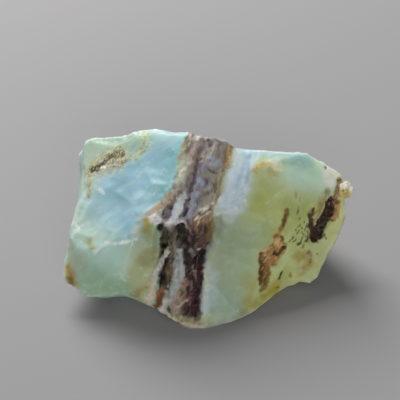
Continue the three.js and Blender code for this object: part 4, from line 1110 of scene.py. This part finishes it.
def strike_off(middle, half, deep):
    """How deep a shell-like flake that comes off at a place cuts into every point of the skin."""
    away = np.linalg.norm(points - middle, axis=1)
    top = points[np.argmin(away)]
    facing = outward[away < away.min() + half].sum(axis=0)
    facing /= np.linalg.norm(facing)
    radius = (half * half + deep * deep) / (2.0 * deep)
    ball = top + facing * (radius - deep)
    return np.clip(radius - np.linalg.norm(points - ball, axis=1) - 0.06 * cloud, 0.0, 1.3 * deep)


cut = np.zeros(count)
for middle, half, deep in scars:
    cut = np.maximum(cut, strike_off(middle, half, deep))
for line in broken_edges:
    for start, end in zip(np.array(line), np.array(line[1:])):
        for share in np.arange(0.0, 1.0, CHIP_EVERY / np.linalg.norm(end - start)):
            middle = start + (end - start) * share
            half = 0.7 + 1.5 * abs(noise.noise(middle * 1.7))
            cut = np.maximum(cut, strike_off(middle, half, CHIP_DEPTH * half))
height -= cut * (1.0 - 0.7 * in_rock)

# The nodule is a knob of small round lumps.
NODULE = (26.4, 2.8, 16.2)
NODULE_REACH = (2.4, 1.4)
knob = step(np.linalg.norm(points - NODULE, axis=1), *NODULE_REACH)
height += (0.6 * lumps(1.1) + 0.3 * lumps(0.6) - 0.1) * knob

# The skin moves out or in by its height, but not on the flat underside. Edges that then stand out are
# bruised and pale.
UNDERSIDE = (0.1, 1.6)
BRUISED_EDGE = (0.012, 0.06)
moved = points + outward * (height * step(z, *UNDERSIDE))[:, None]
moved[:, 2] = np.maximum(moved[:, 2], 0.0)
stone.data.vertices.foreach_set("co", (moved * MM).ravel())
stone.data.update()
bpy.ops.object.shade_smooth()
outward = np.array([vertex.normal for vertex in stone.data.vertices])
bruise = step(bulge(moved, outward, rounds=2), *BRUISED_EDGE) * (1.0 - in_rock) * (1.0 - knob)
tone = wash(tone, bruise * 0.6, 226, 234, 228)
stone.data.attributes.new("tone", "FLOAT_COLOR", "POINT").data.foreach_set("color", tone.ravel())
stone.data.attributes.new("earth", "FLOAT", "POINT").data.foreach_set("value", earth)
stone.data.attributes.new("grains", "FLOAT", "POINT").data.foreach_set("value", grains)


class Shade:
    """A number, place or colour that changes over the stone: one output of its finish's nodes."""

    def __init__(self, socket):
        self.socket = socket

    def node(self, kind, settings, inputs, output=0):
        """Adds a node with its settings and the values or links of its inputs, and gives one output."""
        tree = self.socket.id_data
        made = tree.nodes.new(kind)
        for name, value in settings.items():
            setattr(made, name, value)
        for key, value in inputs.items():
            if isinstance(value, Shade):
                tree.links.new(value.socket, made.inputs[key])
            else:
                made.inputs[key].default_value = value
        return Shade(made.outputs[output])

    def maths(self, operation, first, second):
        return self.node("ShaderNodeMath", {"operation": operation}, {0: first, 1: second})

    def __add__(self, other):
        return self.maths("ADD", self, other)

    __radd__ = __add__

    def __sub__(self, other):
        return self.maths("SUBTRACT", self, other)

    def __rsub__(self, other):
        return self.maths("SUBTRACT", other, self)

    def __mul__(self, other):
        return self.maths("MULTIPLY", self, other)

    __rmul__ = __mul__

    def step(self, low, high):
        """0 below low and 1 above high, or the other way round where low is the larger."""
        return self.node(
            "ShaderNodeMapRange",
            {"interpolation_type": "SMOOTHSTEP"},
            {"Value": self, "From Min": low, "From Max": high},
        )

    def noise(self, size, detail=3.0, rough=0.55):
        """Even noise from 0 to 1 at this place, with lumps of that size."""
        return self.node(
            "ShaderNodeTexNoise",
            {},
            {"Vector": self, "Scale": 1.0 / size, "Detail": detail, "Roughness": rough},
        )

    def between(self, first, second):
        """The first colour where this is 0, the second where it is 1."""
        return self.node(
            "ShaderNodeMix", {"data_type": "RGBA", "clamp_factor": True}, {0: self, 6: first, 7: second}, 2
        )


finish = bpy.data.materials.new("opal_and_rock")
finish.use_nodes = True
tree = finish.node_tree
tree.nodes.clear()
place = Shade(tree.nodes.new("ShaderNodeTexCoord").outputs["Object"])
place = place.node("ShaderNodeVectorMath", {"operation": "SCALE"}, {0: place, "Scale": 1.0 / MM})
painted = place.node("ShaderNodeAttribute", {"attribute_name": "tone"}, {})
rough = place.node("ShaderNodeAttribute", {"attribute_name": "earth"}, {}, 2)
coarse = place.node("ShaderNodeAttribute", {"attribute_name": "grains"}, {}, 2)
side, back, up = (place.node("ShaderNodeSeparateXYZ", {}, {0: place}, axis) for axis in range(3))
over = side - back * BAND_RUN + up * BAND_LEAN + (place.noise(2.4, 3.0) - 0.5) * 2.4
drawn_out = place.node("ShaderNodeCombineXYZ", {}, {0: over * 3.4, 1: back * 0.5, 2: up * 0.5})
threads = drawn_out.noise(1.0, 5.0, 0.62)
sand = place.noise(0.28, 4.0, 0.65)
haze = place.noise(1.6, 5.0, 0.6)

# Fine grain: dark and pale threads and grit in the earth, faint milky flecks in the opal.
colour = (threads.step(0.5, 0.32) * rough * 0.55).between(painted, tint(44, 26, 30))
colour = (threads.step(0.55, 0.74) * rough * 0.3).between(colour, tint(190, 178, 168))
colour = (sand.step(0.46, 0.3) * rough * 0.5).between(colour, tint(30, 24, 20))
colour = (sand.step(0.6, 0.74) * rough * 0.35).between(colour, tint(206, 196, 178))
colour = ((1.0 - rough) * haze.step(0.55, 0.75) * 0.3).between(colour, tint(214, 224, 220))

# Coarse grains, each of one shade, in the marks that are grainy.
jitter = place.node("ShaderNodeTexNoise", {}, {"Vector": place, "Scale": 2.2, "Detail": 2.0}, 1)
nudged = place.node(
    "ShaderNodeVectorMath", {"operation": "MULTIPLY_ADD"}, {0: jitter, 1: (0.7, 0.7, 0.7), 2: place}
)
cell = place.node("ShaderNodeTexVoronoi", {}, {"Vector": nudged, "Scale": 2.7}, 1)
shade = place.node("ShaderNodeSeparateColor", {}, {0: cell})
colour = (shade.step(0.36, 0.22) * coarse * 0.6).between(colour, tint(56, 42, 24))
colour = (shade.step(0.7, 0.84) * coarse * 0.5).between(colour, tint(232, 222, 192))

# Light goes some way into the opal, and its broken faces have a waxy gloss. The rock is dull and gritty.
bump = place.node("ShaderNodeBump", {}, {"Strength": 0.5, "Distance": 0.15 * MM, "Height": sand})
ripple = place.node("ShaderNodeBump", {}, {"Strength": 0.45, "Distance": 0.25 * MM, "Height": haze})
glassy = place.node(
    "ShaderNodeBsdfPrincipled",
    {"subsurface_method": "RANDOM_WALK"},
    {
        "Base Color": colour,
        "Roughness": haze.step(0.3, 0.7) * 0.16 + 0.3,
        "IOR": 1.45,
        "Specular IOR Level": 0.24,
        "Normal": ripple,
        "Subsurface Weight": 0.7,
        "Subsurface Radius": (1.0, 1.1, 0.8),
        "Subsurface Scale": 4.0 * MM,
    },
)
earthy = place.node(
    "ShaderNodeBsdfPrincipled",
    {},
    {"Base Color": colour, "Roughness": 0.72, "IOR": 1.45, "Specular IOR Level": 0.2, "Normal": bump},
)
skin = place.node("ShaderNodeMixShader", {}, {0: rough, 1: glassy, 2: earthy})
sink = tree.nodes.new("ShaderNodeOutputMaterial")
tree.links.new(skin.socket, sink.inputs["Surface"])
stone.data.materials.clear()
stone.data.materials.append(finish)

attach(stone, "root")
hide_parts("opal")

# The studio: a plain pale floor that the stone lies on, a broad window light from behind on the left, a
# wider one from the front, and soft light all round.
bpy.ops.object.select_all(action="DESELECT")
bpy.ops.mesh.primitive_plane_add(size=3.0)
floor = bpy.context.object
floor.name = "floor"
floor_finish = bpy.data.materials.new("pale_sheet")
floor_finish.use_nodes = True
floor_node = floor_finish.node_tree.nodes["Principled BSDF"]
floor_node.inputs["Base Color"].default_value = tint(152, 151, 153)
floor_node.inputs["Roughness"].default_value = 0.85
floor.data.materials.append(floor_finish)

world = bpy.data.worlds.new("soft_room")
world.use_nodes = True
sky = world.node_tree.nodes["Background"]
sky.inputs["Color"].default_value = (0.95, 0.97, 1.0, 1.0)
sky.inputs["Strength"].default_value = 0.17
bpy.context.scene.world = world


def window(name, towards, away, size, power, colour):
    """A square lamp in one direction from the stone, facing it: distance and size in m, power in W."""
    light = bpy.data.lights.new(name, "AREA")
    light.size = size
    light.energy = power
    light.color = colour
    lamp = bpy.data.objects.new(name, light)
    bpy.context.scene.collection.objects.link(lamp)
    lamp.location = Vector(towards).normalized() * away
    lamp.rotation_euler = (-Vector(towards)).to_track_quat("-Z", "Y").to_euler()


window("window", (-0.32, 0.69, 0.72), away=0.6, size=0.32, power=4.5, colour=(1.0, 0.99, 0.97))
window("room", (0.1, -1.0, 0.28), away=0.7, size=0.5, power=2.7, colour=(1.0, 0.98, 0.95))

# The camera stands in front and looks down on the stone. Its lens is given by the focal length in px of a
# picture 400 px wide.
LOOK_DOWN = 40.0
SENSOR = 36.0
FOCAL_PX = 1029.0
PICTURE_PX = 400.0
lens = bpy.data.cameras.new("camera")
lens.sensor_width = SENSOR
lens.lens = SENSOR * FOCAL_PX / PICTURE_PX
lens.clip_start = 0.01
camera = bpy.data.objects.new("camera", lens)
camera.location = (-0.0018, -0.1491, 0.1411)
camera.rotation_euler = (math.radians(90.0 - LOOK_DOWN), 0.0, 0.0)
bpy.context.scene.collection.objects.link(camera)
bpy.context.scene.camera = camera
bpy.context.scene.view_settings.view_transform = "Standard"
